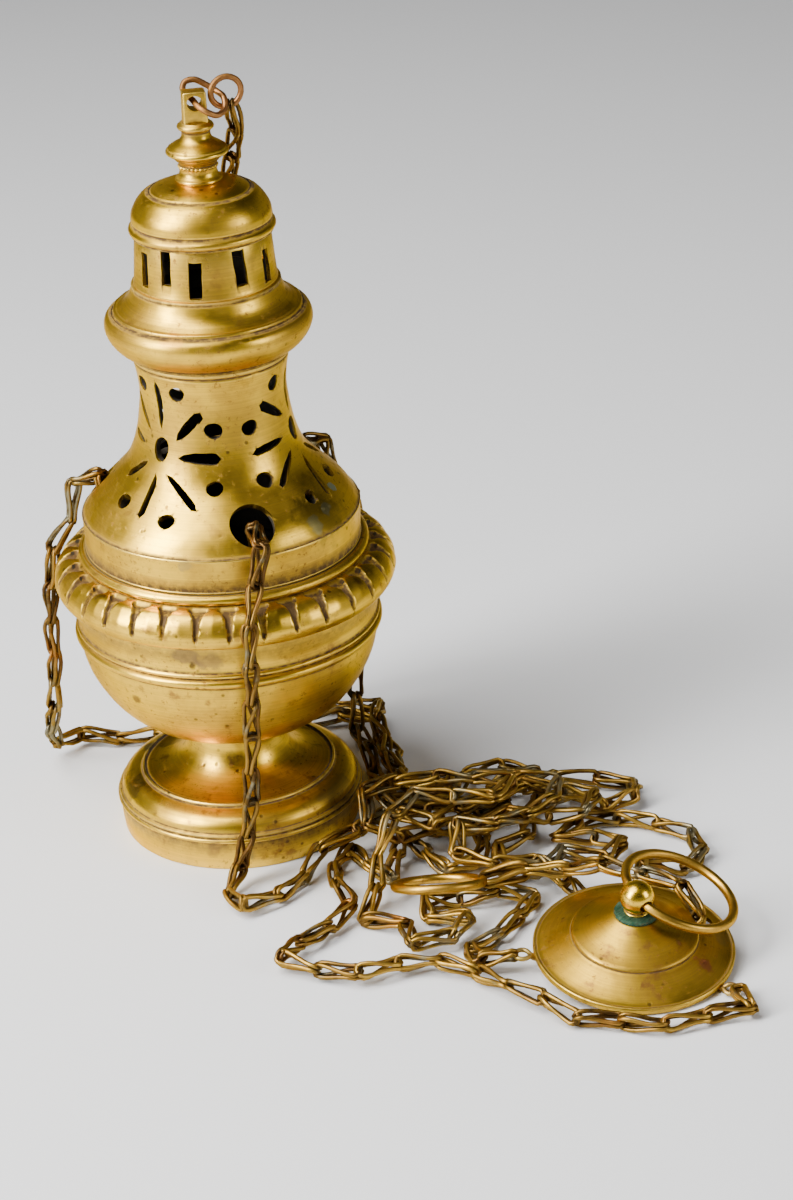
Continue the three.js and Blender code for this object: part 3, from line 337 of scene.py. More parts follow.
def metal(name, base, aged, stain, rough, wear=0.6, stained=0.6, clouded=0.75,
          marks=(), centre=AXIS, turn=(0, 0, 0)):
    """Old metal: a base colour clouded with an aged one, stained, dirty in its hollows, and darkened in
    bands, some of which are painted shade.
    """
    made, nodes, shader = new_material(name)
    place = nodes.position(centre, turn)
    tarnish = nodes.add("ShaderNodeGroup", {"Position": place}, node_tree=TARNISH)
    clouds, spots, specks, pits, rings, dents = (tarnish[k] for k in TARNISH_OUTPUTS)
    grime_and_shade = nodes.add("ShaderNodeGroup", {"Position": place, "Wear": wear}, node_tree=DIRT_AND_SHADE)
    soot = nodes.spread(nodes.attribute("soot"), 0.05, 0.45)
    dull = nodes.maths("MAXIMUM", grime_and_shade["DirtAndShade"], soot)
    streaks = nodes.spread(rings, 0.35, 0.65, -0.14, 0.2)
    colour = nodes.layered(
        base,
        (nodes.plus(nodes.times(clouds, clouded), streaks, clamp=True), aged),
        (nodes.times(spots, stained), stain),
        (grime_and_shade["Wear"], BRIGHT_BRASS),
        (nodes.times(specks, 0.7), stain),
        (nodes.times(pits, 0.75), DARK_BRONZE),
    )
    if marks:
        colour = marked(nodes, place, colour, marks)
    roughness = nodes.spread(clouds, 0, 1, rough - 0.04, rough + 0.1)
    height = nodes.summed(nodes.times(rings, 0.045), (dents, 0.8), (pits, -0.1), (specks, -0.02))
    nodes.feed(shader, {
        # Dirt, and the painted shade of the bowl's band under the rim, darken the colour here.
        "Base Color": nodes.layered(colour, (grime_and_shade["DirtAndShade"], GROOVE_DIRT_AND_SHADE), (soot, SOOT)),
        "Metallic": nodes.spread(dull, 0.0, 1.0, 1.0, 0.2),
        "Specular Tint": GRAZING_TINT,
        "Roughness": nodes.summed(roughness, (dull, 0.4), (rings, 0.08), (specks, 0.2)),
        "Normal": nodes.bump(height, 0.8, 0.6),
    })
    return made


def chain_metal(name):
    """Chain wire: gold on its rubbed turns, else brown bronze, rusty or grey green by places."""
    made, nodes, shader = new_material(name)
    place = nodes.position(AXIS, (0, 0, 0))
    age = nodes.noise(place, 75, 4, 0.6)
    patchy = nodes.noise(place, 310, 4, 0.65)
    gold = nodes.layered(WIRE_GOLD, (nodes.spread(patchy, 0.35, 0.65), WIRE_OLD_GOLD))
    share = nodes.summed(nodes.attribute("gold"), (nodes.attribute("edge"), 0.5))
    share = nodes.plus(share, nodes.spread(patchy, 0.3, 0.7, -0.25, 0.25), clamp=True)
    colour = nodes.layered(
        WIRE_BRONZE,
        (nodes.spread(age, 0.4, 0.6), WIRE_BROWN),
        (share, gold),
        (nodes.spread(age, 0.60, 0.70, 0, 0.5), WIRE_RUST),
        (nodes.spread(age, 0.36, 0.46, 0.75, 0), WIRE_GREY_GREEN),
    )
    nodes.feed(shader, {
        "Base Color": colour,
        "Metallic": 0.9,
        "Specular Tint": GRAZING_TINT,
        "Roughness": nodes.spread(patchy, 0.3, 0.7, 0.3, 0.5),
        "Normal": nodes.bump(patchy, 0.5, 0.15),
    })
    return made


# Single stains: the place on the piece, the radius, the strength and the colour
BASE_MARKS = (
    ((-14.7, -47.7, 79.6), 5.2, 0.75, (0.20, 0.13, 0.06)),
    ((-7.1, -47.4, 78.6), 4.0, 0.65, (0.22, 0.14, 0.06)),
    ((-12.4, -45.6, 76.6), 1.5, 0.9, DARK_BRONZE),
    ((-30.0, -34.4, 60.6), 2.3, 0.85, (0.16, 0.08, 0.03)),
    ((-28.0, 12.7, 18.5), 3.4, 0.9, (0.09, 0.085, 0.05)),
    ((-22.0, 17.0, 19.8), 7.0, 0.6, (0.17, 0.10, 0.035)),
    ((-35.0, -9.0, 17.0), 6.5, 0.6, (0.20, 0.13, 0.04)),
    ((31.7, -18.7, 15.0), 9.0, 0.5, (0.24, 0.15, 0.05)),
    ((-9.0, -38.0, 8.0), 3.2, 0.6, (0.24, 0.13, 0.05)),
    ((0.6, -39.0, 5.0), 2.2, 0.6, (0.14, 0.13, 0.08)),
)
LID_MARKS = (
    ((29.5, -25.0, 115.0), 9.5, 0.5, (0.25, 0.17, 0.03)),
    ((28.0, -29.4, 113.4), 2.6, 0.45, (0.36, 0.40, 0.22)),
    ((31.5, -22.6, 115.6), 2.2, 0.5, (0.36, 0.42, 0.25)),
    ((34.9, -12.6, 119.0), 2.0, 0.8, (0.42, 0.58, 0.44)),
    ((-11.9, -28.0, 176.0), 3.4, 0.5, (0.50, 0.21, 0.03)),
    ((-12.1, -41.5, 108.3), 2.2, 0.5, (0.30, 0.22, 0.09)),
    ((0.0, 0.0, 221.0), 7.4, 0.45, (0.22, 0.13, 0.04)),
    ((0.0, 0.0, 229.6), 6.0, 0.5, (0.20, 0.12, 0.04)),
)
DISC_MARKS = (
    ((19.4, -13.6, 4.6), 2.9, 0.8, (0.28, 0.085, 0.035)),
    ((27.5, 2.0, 2.5), 4.5, 0.5, (0.20, 0.15, 0.06)),
    ((-14.0, 17.0, 6.6), 6.0, 0.45, (0.25, 0.15, 0.05)),
)
BRASS = metal("old_yellow_brass", YELLOW_BRASS, OLIVE_BRASS, DEEP_STAIN, 0.29,
              stained=0.85, marks=BASE_MARKS)
LID_BRASS = metal("old_yellow_brass_of_the_lid", YELLOW_BRASS, OLIVE_BRASS, DEEP_STAIN, 0.29,
                  stained=0.4, marks=LID_MARKS)
SQUARE_TO_DISC = {"centre": DISC_CENTRE, "turn": DISC_EULER}
DISC_BRASS = metal("old_yellow_brass_of_the_disc", (0.54, 0.325, 0.022), (0.32, 0.18, 0.02),
                   DEEP_STAIN, 0.36, stained=0.95, marks=DISC_MARKS, **SQUARE_TO_DISC)
BALL_BRASS = metal("rubbed_brass_of_the_ball", (0.86, 0.54, 0.04), YELLOW_BRASS,
                   DEEP_STAIN, 0.24, stained=0.5, clouded=0.5, **SQUARE_TO_DISC)
RING_BRASS = metal("handled_brass_of_the_rings", (0.62, 0.36, 0.045), (0.40, 0.21, 0.03),
                   DEEP_STAIN, 0.30, **SQUARE_TO_DISC)
DULL_BRASS = metal("dull_brass_fittings", (0.36, 0.24, 0.09), DARK_BRONZE, ORANGE_BROWN, 0.45)
COPPER = metal("brown_copper_wire", COPPER_BROWN, (0.16, 0.065, 0.025), ORANGE_BROWN, 0.42, wear=0.2)
IRON = metal("sooty_iron", (0.12, 0.11, 0.10), SOOT, (0.10, 0.04, 0.02), 0.62, wear=0.0)
GREEN = metal("green_crust", DEEP_GREEN, VERDIGRIS, DARK_BRONZE, 0.75, wear=0.0, stained=0.8)
CHAIN_METAL = chain_metal("bronze_brown_chain_wire")

# Mesh helpers


def begin(operator, **settings):
    """Adds a primitive with nothing else selected, and returns its object."""
    bpy.ops.object.select_all(action="DESELECT")
    operator(**settings)
    return bpy.context.object


def pick(*pieces):
    """Selects the pieces and nothing else, the first of them active."""
    bpy.ops.object.select_all(action="DESELECT")
    for piece in pieces:
        piece.select_set(True)
    bpy.context.view_layer.objects.active = pieces[0]


def apply_modifier(piece, kind, **settings):
    bpy.context.view_layer.objects.active = piece
    modifier = piece.modifiers.new(kind.lower(), kind)
    for name, value in settings.items():
        setattr(modifier, name, value)
    bpy.ops.object.modifier_apply(modifier=modifier.name)


def select_whole():
    bpy.ops.mesh.select_all(action="SELECT")


def edit(piece, *steps):
    """Runs the steps in edit mode, with the whole piece selected."""
    pick(piece)
    bpy.ops.object.mode_set(mode="EDIT")
    select_whole()
    for step in steps:
        step()
    bpy.ops.object.mode_set(mode="OBJECT")


def outwards():
    bpy.ops.mesh.normals_make_consistent(inside=False)


def curved(*points, steps=6):
    """The points joined by a smooth curve, with that many steps from each to the next."""
    return [tuple(p) for p in smooth_line(np.array(points, float), steps)]


def between(t, start, end, a, b):
    """The point at t of a line that is at a when t is start and at b when t is end."""
    return (end - t) / (end - start) * a + (t - start) / (end - start) * b


def smooth_line(points, steps, closed=False):
    """A centripetal Catmull-Rom curve through the points."""
    count = len(points)
    if closed:
        ends = [points[(i - 1) % count] for i in range(count + 3)]
    else:
        first = 2 * points[0] - points[1]
        last = 2 * points[-1] - points[-2]
        ends = [first, *points, last]
    line = []
    for i in range(1, len(ends) - 2):
        p0, p1, p2, p3 = ends[i - 1:i + 3]
        gaps = [max(np.linalg.norm(b - a), 1e-6) ** 0.5 for a, b in ((p0, p1), (p1, p2), (p2, p3))]
        t0, t1, t2, t3 = np.cumsum([0.0, *gaps])
        for t in np.linspace(t1, t2, steps, endpoint=False):
            a1 = between(t, t0, t1, p0, p1)
            a2 = between(t, t1, t2, p1, p2)
            a3 = between(t, t2, t3, p2, p3)
            b1 = between(t, t0, t2, a1, a2)
            b2 = between(t, t1, t3, a2, a3)
            line.append(between(t, t1, t2, b1, b2))
    if not closed:
        line.append(points[-1])
    return np.array(line)


def bead(radius, z, size, start=-90, end=90, steps=6):
    """A half-round rib on an outline: its middle, its size and the angles it turns through."""
    angles = np.radians(np.linspace(start, end, steps))
    return [(radius + size * math.cos(a), z + size * math.sin(a)) for a in angles]


def turned(name, outline, steps=144, soften=0.22):
    """A closed outline of radius and height, spun round the upright axis through the origin."""
    piece = begin(bpy.ops.mesh.primitive_circle_add, vertices=len(outline), radius=0.01)
    piece.name = name
    for vertex, (radius, z) in zip(piece.data.vertices, outline):
        vertex.co = (radius * MM, 0, z * MM)
    edit(
        piece,
        lambda: bpy.ops.mesh.spin(steps=steps, angle=2 * math.pi, center=(0, 0, 0), axis=(0, 0, 1)),
        select_whole,
        lambda: bpy.ops.mesh.remove_doubles(threshold=1e-6),
        bpy.ops.mesh.delete_loose,
        select_whole,
        outwards,
    )
    if soften:
        apply_modifier(piece, "BEVEL", width=soften * MM, segments=2, limit_method="ANGLE",
                       angle_limit=math.radians(32))
    return piece


def boolean(piece, other, operation):
    """Cuts the other piece out of this one for a DIFFERENCE, or fuses the two for a UNION."""
    apply_modifier(piece, "BOOLEAN", object=other, operation=operation, solver="EXACT")
    bpy.data.objects.remove(other)


def join(name, pieces):
    """Makes one object of the pieces."""
    pick(*pieces)
    bpy.ops.object.join()
    pieces[0].name = name
    return pieces[0]


def rows(items, name, width, kind=float):
    """A property of all vertices or edges, as rows of numbers."""
    values = np.empty(len(items) * width, kind)
    items.foreach_get(name, values)
    return values.reshape(-1, width)


def write_mask(piece, name, values):
    """Writes a number for each vertex, for the materials to read."""
    layer = piece.data.attributes.new(name, "FLOAT", "POINT")
    layer.data.foreach_set("value", np.asarray(values, np.float32))


# Where a surface starts to count as hollow, as an edge or as turned inwards, and over what span
HOLLOW_FROM, HOLLOW_SPAN = 0.03, 0.28
EDGE_FROM, EDGE_SPAN = 0.12, 0.6
INWARD_FROM, INWARD_SPAN = 0.25, 0.3


def mark_wear(piece, softness, sooted):
    """Writes how hollow, how sharp and how sooty the surface is at each vertex."""
    mesh = piece.data
    count = len(mesh.vertices)
    places = rows(mesh.vertices, "co", 3) / MM
    normals = rows(mesh.vertices, "normal", 3)
    a, b = rows(mesh.edges, "vertices", 2, np.int64).T
    step = places[b] - places[a]
    squared = np.maximum((step**2).sum(1), 1e-4)
    touched = np.maximum(np.bincount(a, minlength=count) + np.bincount(b, minlength=count), 1)
    bend = np.bincount(a, (normals[a] * step).sum(1) / squared, count)
    bend += np.bincount(b, -(normals[b] * step).sum(1) / squared, count)
    bend = np.clip(bend / touched, -2, 2)
    for _ in range(softness):
        near = np.bincount(a, bend[b], count) + np.bincount(b, bend[a], count)
        bend = 0.5 * bend + 0.5 * near / touched
    outward = places[:, :2] - np.array(AXIS.xy) / MM
    outward /= np.maximum(np.linalg.norm(outward, axis=1), 1e-6)[:, None]
    faced_in = -(outward * normals[:, :2]).sum(1)
    soot = (faced_in - INWARD_FROM) / INWARD_SPAN if sooted else np.zeros(count)
    hollow = (bend - HOLLOW_FROM) / HOLLOW_SPAN
    edge = (-bend - EDGE_FROM) / EDGE_SPAN
    for name, values in (("hollow", hollow), ("edge", edge), ("soot", soot)):
        write_mask(piece, name, np.clip(values, 0, 1))


def grime_and_shade_band(piece, *bands):
    """Darkens bands between heights of a turned piece: the lowest, the highest, how much. Most bands are
    old dirt at joints, and the bowl's band under the rim is partly painted shade.
    """
    fade = 1.6
    heights = np.array([v.co.z for v in piece.data.vertices]) / MM
    grime_and_shade = np.zeros(len(heights))
    for low_end, high_end, amount in bands:
        middle, half = (low_end + high_end) / 2, (high_end - low_end) / 2
        band = np.clip(fade - fade * np.abs(heights - middle) / half, 0, 1)
        grime_and_shade = np.maximum(grime_and_shade, amount * band)
    write_mask(piece, "grime_and_shade", grime_and_shade)
    return piece


def settle(piece, body, material, replaced, move=Matrix.Translation(AXIS), angle=38,
           softness=2, sooted=False):
    """Puts a finished piece in its place on a body, smooth, with its material."""
    piece.data.transform(piece.matrix_world)
    piece.matrix_world = Matrix.Identity(4)
    piece.data.transform(move)
    pick(piece)
    bpy.ops.object.shade_smooth_by_angle(angle=math.radians(angle))
    mark_wear(piece, softness, sooted)
    piece.data.materials.clear()
    piece.data.materials.append(material)
    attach(piece, body)
    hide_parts(*replaced)
    return piece


def turned_brass(name, outline, body, material, replaced, *bands):
    """A piece turned from brass, darkened in bands, put in its place."""
    piece = grime_and_shade_band(turned(name, outline), *bands)
    settle(piece, body, material, [replaced], sooted=True)


def wire(name, points, radius, closed=True, fineness=3):
    """Round wire bent through the points, as a mesh."""
    data = bpy.data.curves.new(name, "CURVE")
    data.dimensions = "3D"
    data.bevel_depth = radius * MM
    data.bevel_resolution = fineness
    data.use_fill_caps = True
    line = data.splines.new("POLY")
    line.points.add(len(points) - 1)
    for point, place in zip(line.points, points):
        point.co = (*(Vector(place) * MM), 1)
    line.use_cyclic_u = closed
    piece = add_object(name, data)
    pick(piece)
    bpy.ops.object.convert(target="MESH")
    return bpy.context.object


# Foot


def make_foot():
    outline = [
        (38.2, 0), (38.7, 4), (39.1, 9.4),
        *bead(39.0, 10.4, 0.75, -75, 75), (39.0, 11.3),
        *bead(38.8, 11.9, 0.5, -60, 80, 4),
        *curved((38.3, 12.7), (37.6, 14.8), (35.6, 16.9), (33.4, 17.9), (31.6, 18.4)),
        *bead(30.7, 18.9, 0.62, -20, 150, 6),
        *curved((29.95, 18.95), (26.6, 19.5), (23.3, 20.6), (19.8, 22.6), (17.2, 25.2),
                (15.6, 28.4), (14.9, 31.4), (14.9, BOWL_BASE)),
        (2.7, BOWL_BASE), (2.7, 32.0), (12.4, 32.0),
        *curved((12.4, 28.6), (15.6, 22.2), (22.3, 18.0), (29.4, 16.5), (35.0, 14.2), (36.4, 0)),
    ]
    turned_brass("foot_casting", outline, "censer_base", BRASS, "foot", (11.0, 12.8, 0.45))


# Bowl


def make_bowl():
    outline = [
        (48.4, BOWL_TOP), (48.0, 80.4), *curved((47.7, 78.6), (47.4, 76.4), (47.45, 74.2), steps=4),
        *bead(47.5, 73.1, 0.75, 80, -80, 6),
        (47.2, 72.1),
        *bead(47.4, 70.4, 1.35, 75, -75, 8),
        *curved((47.2, 68.6), (46.9, 65.4), (45.6, 60.2), (42.6, 53.8), (37.6, 46.8),
                (30.6, 41.0), (22.4, 37.0), (15.2, BOWL_BASE)),
        (2.7, BOWL_BASE), (2.7, 37.2),
        *curved((14.5, 37.2), (21.6, 39.4), (29.4, 43.2), (35.8, 48.6), (40.7, 54.8),
                (43.8, 60.8), (45.5, 66.8), (45.6, BOWL_TOP), steps=4),
    ]
    # The first band darkens the bowl under the gadrooned rim's overhang: partly dirt, partly painted
    # shade and a painted dark reflection of the rim's underside.
    turned_brass("bowl_shell", outline, "censer_base", BRASS, "bowl",
                 (76.5, 85.5, 0.42), (34.0, 37.4, 0.5))


# Gadrooned rim


def make_rim():
    spigot = 45.3
    outline = [
        (44.4, RIM_TOP),
        *bead(44.1, 96.95, 1.5, 70, -72, 9),
        *curved((45.6, 95.2), (47.6, 95.2), (50.0, 94.5), (52.2, 92.4), (53.5, 89.6),
                (53.6, 87.4), (53.0, 85.7), steps=6),
        (52.5, 84.9), (52.1, BOWL_TOP),
        (spigot, BOWL_TOP), (spigot, 81.4), (spigot - WALL, 81.4), (RIM_BORE, 85.2), (RIM_BORE, RIM_TOP),
    ]
    rim = turned("gadrooned_ring", outline, steps=GADROON_COUNT * 26, soften=0)
    carve_gadroons(rim)
    settle(rim, "censer_base", BRASS, ["gadrooned_rim"], softness=1, sooted=True)


# How far down a groove, and how wide half of it is there
GROOVE_SHARES = (0.0, 0.05, 0.12, 0.24, 0.45, 0.68, 0.86, 1.0)
GROOVE_HALVES = (5.0, 2.2, 1.5, 1.2, 1.05, 0.9, 0.65, 0.1)


def held(value):
    """The value, held between 0 and 1."""
    return min(1.0, max(0.0, value))


def carve_gadroons(rim):
    """Cuts the grooves between the lobes: broad under the bead, narrow down the side, pointed.
    The lobes stand out between them, and fall off towards them."""
    top, end, inner = 95.5, 87.2, 45.4
    under_end = end - 2.4
    depth = 1.25
    lobe_rise, lobe_fall, lobe_half = 0.15, 0.25, 4.9
    chisel = np.random.default_rng(SEED + 5)
    strays = chisel.uniform(-0.3, 0.3, (GADROON_COUNT, 3))
    moved = []
    grime_and_shade = np.zeros(len(rim.data.vertices))
    for vertex in rim.data.vertices:
        x, y, z = (c / MM for c in vertex.co)
        radius = math.hypot(x, y)
        if radius < inner or z < under_end or z > top + 0.3:
            continue
        lobe = math.degrees(math.atan2(y, x)) / 360 * GADROON_COUNT
        stray, longer, slant = strays[round(lobe) % GADROON_COUNT]
        down = held((top - z) / (top - end + 2.0 * longer))
        off = (lobe - round(lobe)) * 2 * math.pi * radius / GADROON_COUNT
        off = abs(off - stray - slant * (down - 0.5) * 1.6)
        half = float(np.interp(down, GROOVE_SHARES, GROOVE_HALVES))
        groove = held((half + 0.15 - off) / (0.5 * min(half, 1.6) + 0.3))
        groove = groove * groove * (3 - 2 * groove)
        reach = held((radius - inner) / 0.9)
        carved = depth * groove * held((1.03 - down) * 6) * reach
        side = (1 - held(off / lobe_half) ** 1.6) * math.sin(math.pi * held(0.12 + down * 0.8))
        rise = (lobe_rise - lobe_fall * side) * held((z - under_end) / 3.0)
        grime_and_shade[vertex.index] = held(groove * 4) * held((1.02 - down) * 8) * reach
        moved.append((vertex, vertex.normal.copy() * MM * (rise - carved)))
    for vertex, step in moved:
        vertex.co += step
    write_mask(rim, "grime_and_shade", grime_and_shade)


# Charcoal pan


def make_pan():
    outline = [
        (10.4, 41.8), (10.4, 37.2), (11.6, 37.2), (11.6, 42.0),
        *curved((19.6, 43.0), (25.0, 49.0), (26.8, 58.0), (27.2, 73.6), steps=5),
        *bead(27.4, 74.4, 0.8, -60, 120, 6),
        (26.2, 75.2),
        *curved((25.6, 58.0), (23.2, 50.0), (19.0, 44.2), steps=5),
        (0, 43.2), (0, 42.0),
    ]
    settle(turned("charcoal_pan", outline, 72), "fire_pan", IRON, ["fire_pan"])


# Lid bell, pierced with flowers

BELL_CURVE = (
    (43.2, 109.8), (39.5, 115.2), (33.6, 121.2), (28.2, 127.2), (25.0, 134.6),
    (23.2, 143.6), (22.6, 150.0), (23.1, 156.0), (23.8, 159.6),
)
FLOWER_CENTRE = 136.7
# Each slot has its inner end and its outer end, sideways and up from the eye, and its width.
WIDE_FLOWER = {
    "petals": (
        (-5, 4.7, -15.2, 14.2, 2.4), (-0.4, 6.5, -1.4, 20.3, 2.7), (5.2, 3.8, 13.5, 12.9, 3.7),
        (7, -1.3, 20.4, -1.4, 4.1), (4.9, -7.1, 16.4, -14.8, 2.8), (-0.4, -7.8, 0.4, -18.8, 2.8),
        (-5.9, -4.8, -13.8, -11.5, 2.6), (-8.2, 0, -16.5, 1.5, 2.4),
    ),
    "dots": ((5.9, 18.3), (16.9, 7), (20.1, -9.7), (9.9, -17.9), (-9, -16.3), (-9.4, 18.5)),
}
STEEP_FLOWER = {
    "petals": (
        (-5.2, 6.4, -14.4, 12.5, 3.7), (0.4, 6, 0.8, 19.7, 2.7), (7, 5.2, 14.6, 12.8, 2.6),
        (8.4, -0.4, 20.4, -1, 2.7), (4.9, -7.1, 14.8, -13.6, 2.7), (-1.6, -8.4, -5.6, -19.3, 2.8),
        (-7.2, -5, -17.8, -12.8, 3.0), (-8.5, -0.2, -20.6, -1.4, 2.9),
    ),
    "dots": (
        (-8.4, 17.8), (9, 17.6), (16.8, 7), (18.6, -9.7), (4.8, -15.9), (-13.4, -17.1),
        (-19.2, 6.5), (-21.5, -9.4),
    ),
}
# The azimuth of each flower and its slots: the left one, the right one and the back one
FLOWERS = ((-134.0, WIDE_FLOWER), (-17.0, STEEP_FLOWER), (104.0, WIDE_FLOWER))


def bell_radius(z):
    """The radius of the bell's wall at a height."""
    heights = [p[1] for p in BELL_CURVE]
    return float(np.interp(z, heights, [p[0] for p in BELL_CURVE]))


def bell_slope(z):
    """How far the wall leans in at a height, as the angle of its outward normal above level."""
    return math.atan2(bell_radius(z - 1.5) - bell_radius(z + 1.5), 3)


def through_bell(cutter, azimuth, z):
    """Turns an upright cutter to go square through the wall, at an azimuth and a height."""
    lean = rotation(azimuth, "Z") @ rotation(90 - math.degrees(bell_slope(z)), "Y")
    cutter.data.transform(shift(*around(bell_radius(z), azimuth, z)) @ lean)


def dot_cutter(radius, sides=20, depth=11.0, uneven=0.0):
    """A round punch. Uneven is how far the hand-cut edge strays from round."""
    punch = begin(bpy.ops.mesh.primitive_cylinder_add, vertices=sides, radius=radius * MM,
                  depth=depth * MM)
    for vertex in punch.data.vertices:
        angle = math.atan2(vertex.co.y, vertex.co.x)
        stray = 1 + uneven * math.sin(2 * angle + radius * 9) + 0.5 * uneven * math.sin(3 * angle + 1)
        vertex.co.x *= stray
        vertex.co.y *= stray
    return punch


def petal_cutter(length, width, turn, chisel):
    """A chisel-cut slot with ragged sides, narrow at its inner end and slanted at its outer."""
    half = length * MM / 2
    shares = np.linspace(-1, 1, 9)
    sides = []
    for sign in (1, -1):
        skew = chisel.uniform(-0.12, 0.12)
        for t in shares if sign > 0 else shares[::-1]:
            full = (1 - abs(t) ** (2.6 if t < 0 else 4.5)) ** 0.6
            wide = width * MM / 2 * (0.86 + 0.14 * t) * max(0.1, full)
            stray = chisel.uniform(-0.11, 0.11) * MM
            sides.append(((t + sign * skew * max(t, 0)) * half, sign * wide + stray))
    punch = dot_cutter(1.0, len(sides), 9.0)
    for vertex in punch.data.vertices:
        turned_by = math.atan2(vertex.co.y, vertex.co.x)
        x, y = sides[round((math.pi - turned_by) / (2 * math.pi) * len(sides)) % len(sides)]
        vertex.co.x, vertex.co.y = x, y
    # The cutter's X is the slot's length. After through_bell its Y runs sideways round the
    # wall and its X runs down it, so level is a quarter turn.
    punch.data.transform(rotation(90 - turn, "Z"))
    edit(punch, outwards)
    return punch


def flower_cutters(turn, flower, seed):
    """The punches of one flower, for its eye, its slots and its dots."""
    chisel = np.random.default_rng(seed)
    eye = dot_cutter(3.0, 24, uneven=0.05)
    for vertex in eye.data.vertices:
        vertex.co.x *= 1.22
    placed = [(eye, 0, 0)]
    for side0, up0, side1, up1, width in flower["petals"]:
        side, up = (side0 + side1) / 2, (up0 + up1) / 2
        fall = 1 / max(0.5, math.cos(bell_slope(FLOWER_CENTRE + up)))
        across, rise = side1 - side0, (up1 - up0) * fall
        slope = math.degrees(math.atan2(-rise, across))
        punch = petal_cutter(math.hypot(across, rise) + 0.8, width, slope, chisel)
        placed.append((punch, side, up))
    for side, up in flower["dots"]:
        placed.append((dot_cutter(2.6 + chisel.uniform(-0.2, 0.15), uneven=0.07), side, up))
    for punch, side, up in placed:
        z = FLOWER_CENTRE + up
        through_bell(punch, turn + math.degrees(side / bell_radius(z)), z)
    return [punch for punch, _, _ in placed]


def make_bell():
    spigot = RIM_BORE - 0.3
    outline = [
        (43.2, RIM_TOP), *bead(43.0, 99.1, 0.35, -50, 80, 4),
        (43.15, 99.7), (43.25, 104.0), (43.35, 108.9), (43.55, 109.5), (43.4, 109.95),
        *curved(*BELL_CURVE, steps=5),
        (23.5, 160.3), (24.2, 161.0), (24.2, BELL_TOP),
        *curved((22.2, BELL_TOP), (21.0, 150.0), (21.4, 143.0), (22.6, 132.8), (25.6, 125.4),
                (30.8, 119.6), (36.4, 113.2), (40.2, 107.8), steps=5),
        (40.2, RIM_TOP), (39.6, 94.6), (spigot, 94.6), (spigot, RIM_TOP),
    ]
    bell = grime_and_shade_band(turned("pierced_bell", outline, 160), (99.2, 100.0, 0.9))
    punches = []
    for azimuth in HOLE_AZIMUTHS.values():
        hole = dot_cutter(CHAIN_HOLE_RADIUS, 40, 16.0, uneven=0.015)
        through_bell(hole, azimuth, CHAIN_HOLE_HEIGHT)
        punches.append(hole)
    for seed, (turn, flower) in enumerate(FLOWERS, SEED):
        punches += flower_cutters(turn, flower, seed)
    boolean(bell, join("bell_punches", punches), "DIFFERENCE")
    settle(bell, "lid", LID_BRASS, ["lid_bell"], softness=1, sooted=True)


# Lid collar, drum and dome


def make_collar():
    outline = [
        *bead(24.7, 162.55, 0.55, -80, 60, 5),
        *curved((25.2, 163.3), (27.2, 164.1), (29.4, 166.0), (31.2, 168.8), (31.8, 171.4),
                (31.2, 173.8), (29.7, 175.3)),
        (29.3, 175.35), (29.0, 175.1), (28.8, 175.5),
        *bead(28.2, 175.9, 0.55, 0, 80, 4),
        *curved((27.6, 176.5), (25.6, 177.9), (24.0, 179.9), (23.1, 182.0), (22.7, 183.2)),
        *bead(22.3, 183.7, 0.5, -40, 90, 4),
        (19.9, COLLAR_TOP), (20.3, 180.0), (25.1, 175.0), (29.0, 171.0), (26.0, 167.0), (22.2, 163.6),
        (22.2, BELL_TOP),
    ]
    turned_brass("collar_knop", outline, "lid", LID_BRASS, "lid_collar",
                 (174.7, 175.6, 0.8), (BELL_TOP, 163.4, 0.7), (182.6, 184.4, 0.7))


# Azimuth, middle height, width and height of each window, unevenly cut
WINDOWS = (
    (-147.7, 191.9, 3.1, 10.4), (-123.6, 194.0, 3.3, 10.6), (-98.6, 190.7, 4.0, 11.2),
    (-60.6, 193.1, 4.0, 11.0), (-30.8, 190.8, 3.6, 10.2), (-1, 193.0, 3.5, 10.8),
    (30, 191.0, 3.7, 10.6), (60, 193.2, 3.4, 10.9), (91, 190.9, 3.8, 10.5),
    (121, 193.1, 3.5, 11.0), (152, 191.0, 3.4, 10.4), (-178, 193.0, 3.6, 10.7),
)


def make_drum():
    outline = [
        (21.9, COLLAR_TOP), (21.9, 184.9), (DRUM_RADIUS, 185.3), (21.2, 191.8),
        (DRUM_TOP_RADIUS, DRUM_TOP), (DRUM_TOP_RADIUS - WALL, DRUM_TOP), (DRUM_RADIUS - WALL, COLLAR_TOP),
    ]
    drum = turned("windowed_drum", outline)
    chisel = np.random.default_rng(SEED)
    cutter_depth = 8
    windows = []
    for azimuth, middle, wide, tall in WINDOWS:
        window = begin(bpy.ops.mesh.primitive_cube_add, size=MM)
        edit(window, lambda: bpy.ops.mesh.subdivide(number_cuts=2))
        skew = chisel.uniform(-0.07, 0.07)
        for vertex in window.data.vertices:
            x, y, z = vertex.co
            stray = chisel.uniform(-0.14, 0.14) * MM
            vertex.co = (
                DRUM_RADIUS * MM + x * cutter_depth,
                y * wide + z * tall * skew + stray,
                z * tall + stray,
            )
            vertex.co.z += middle * MM
        window.data.transform(rotation(azimuth, "Z"))
        windows.append(window)
    boolean(drum, join("drum_chisels", windows), "DIFFERENCE")
    settle(drum, "lid", LID_BRASS, ["lid_drum"], softness=1, sooted=True)


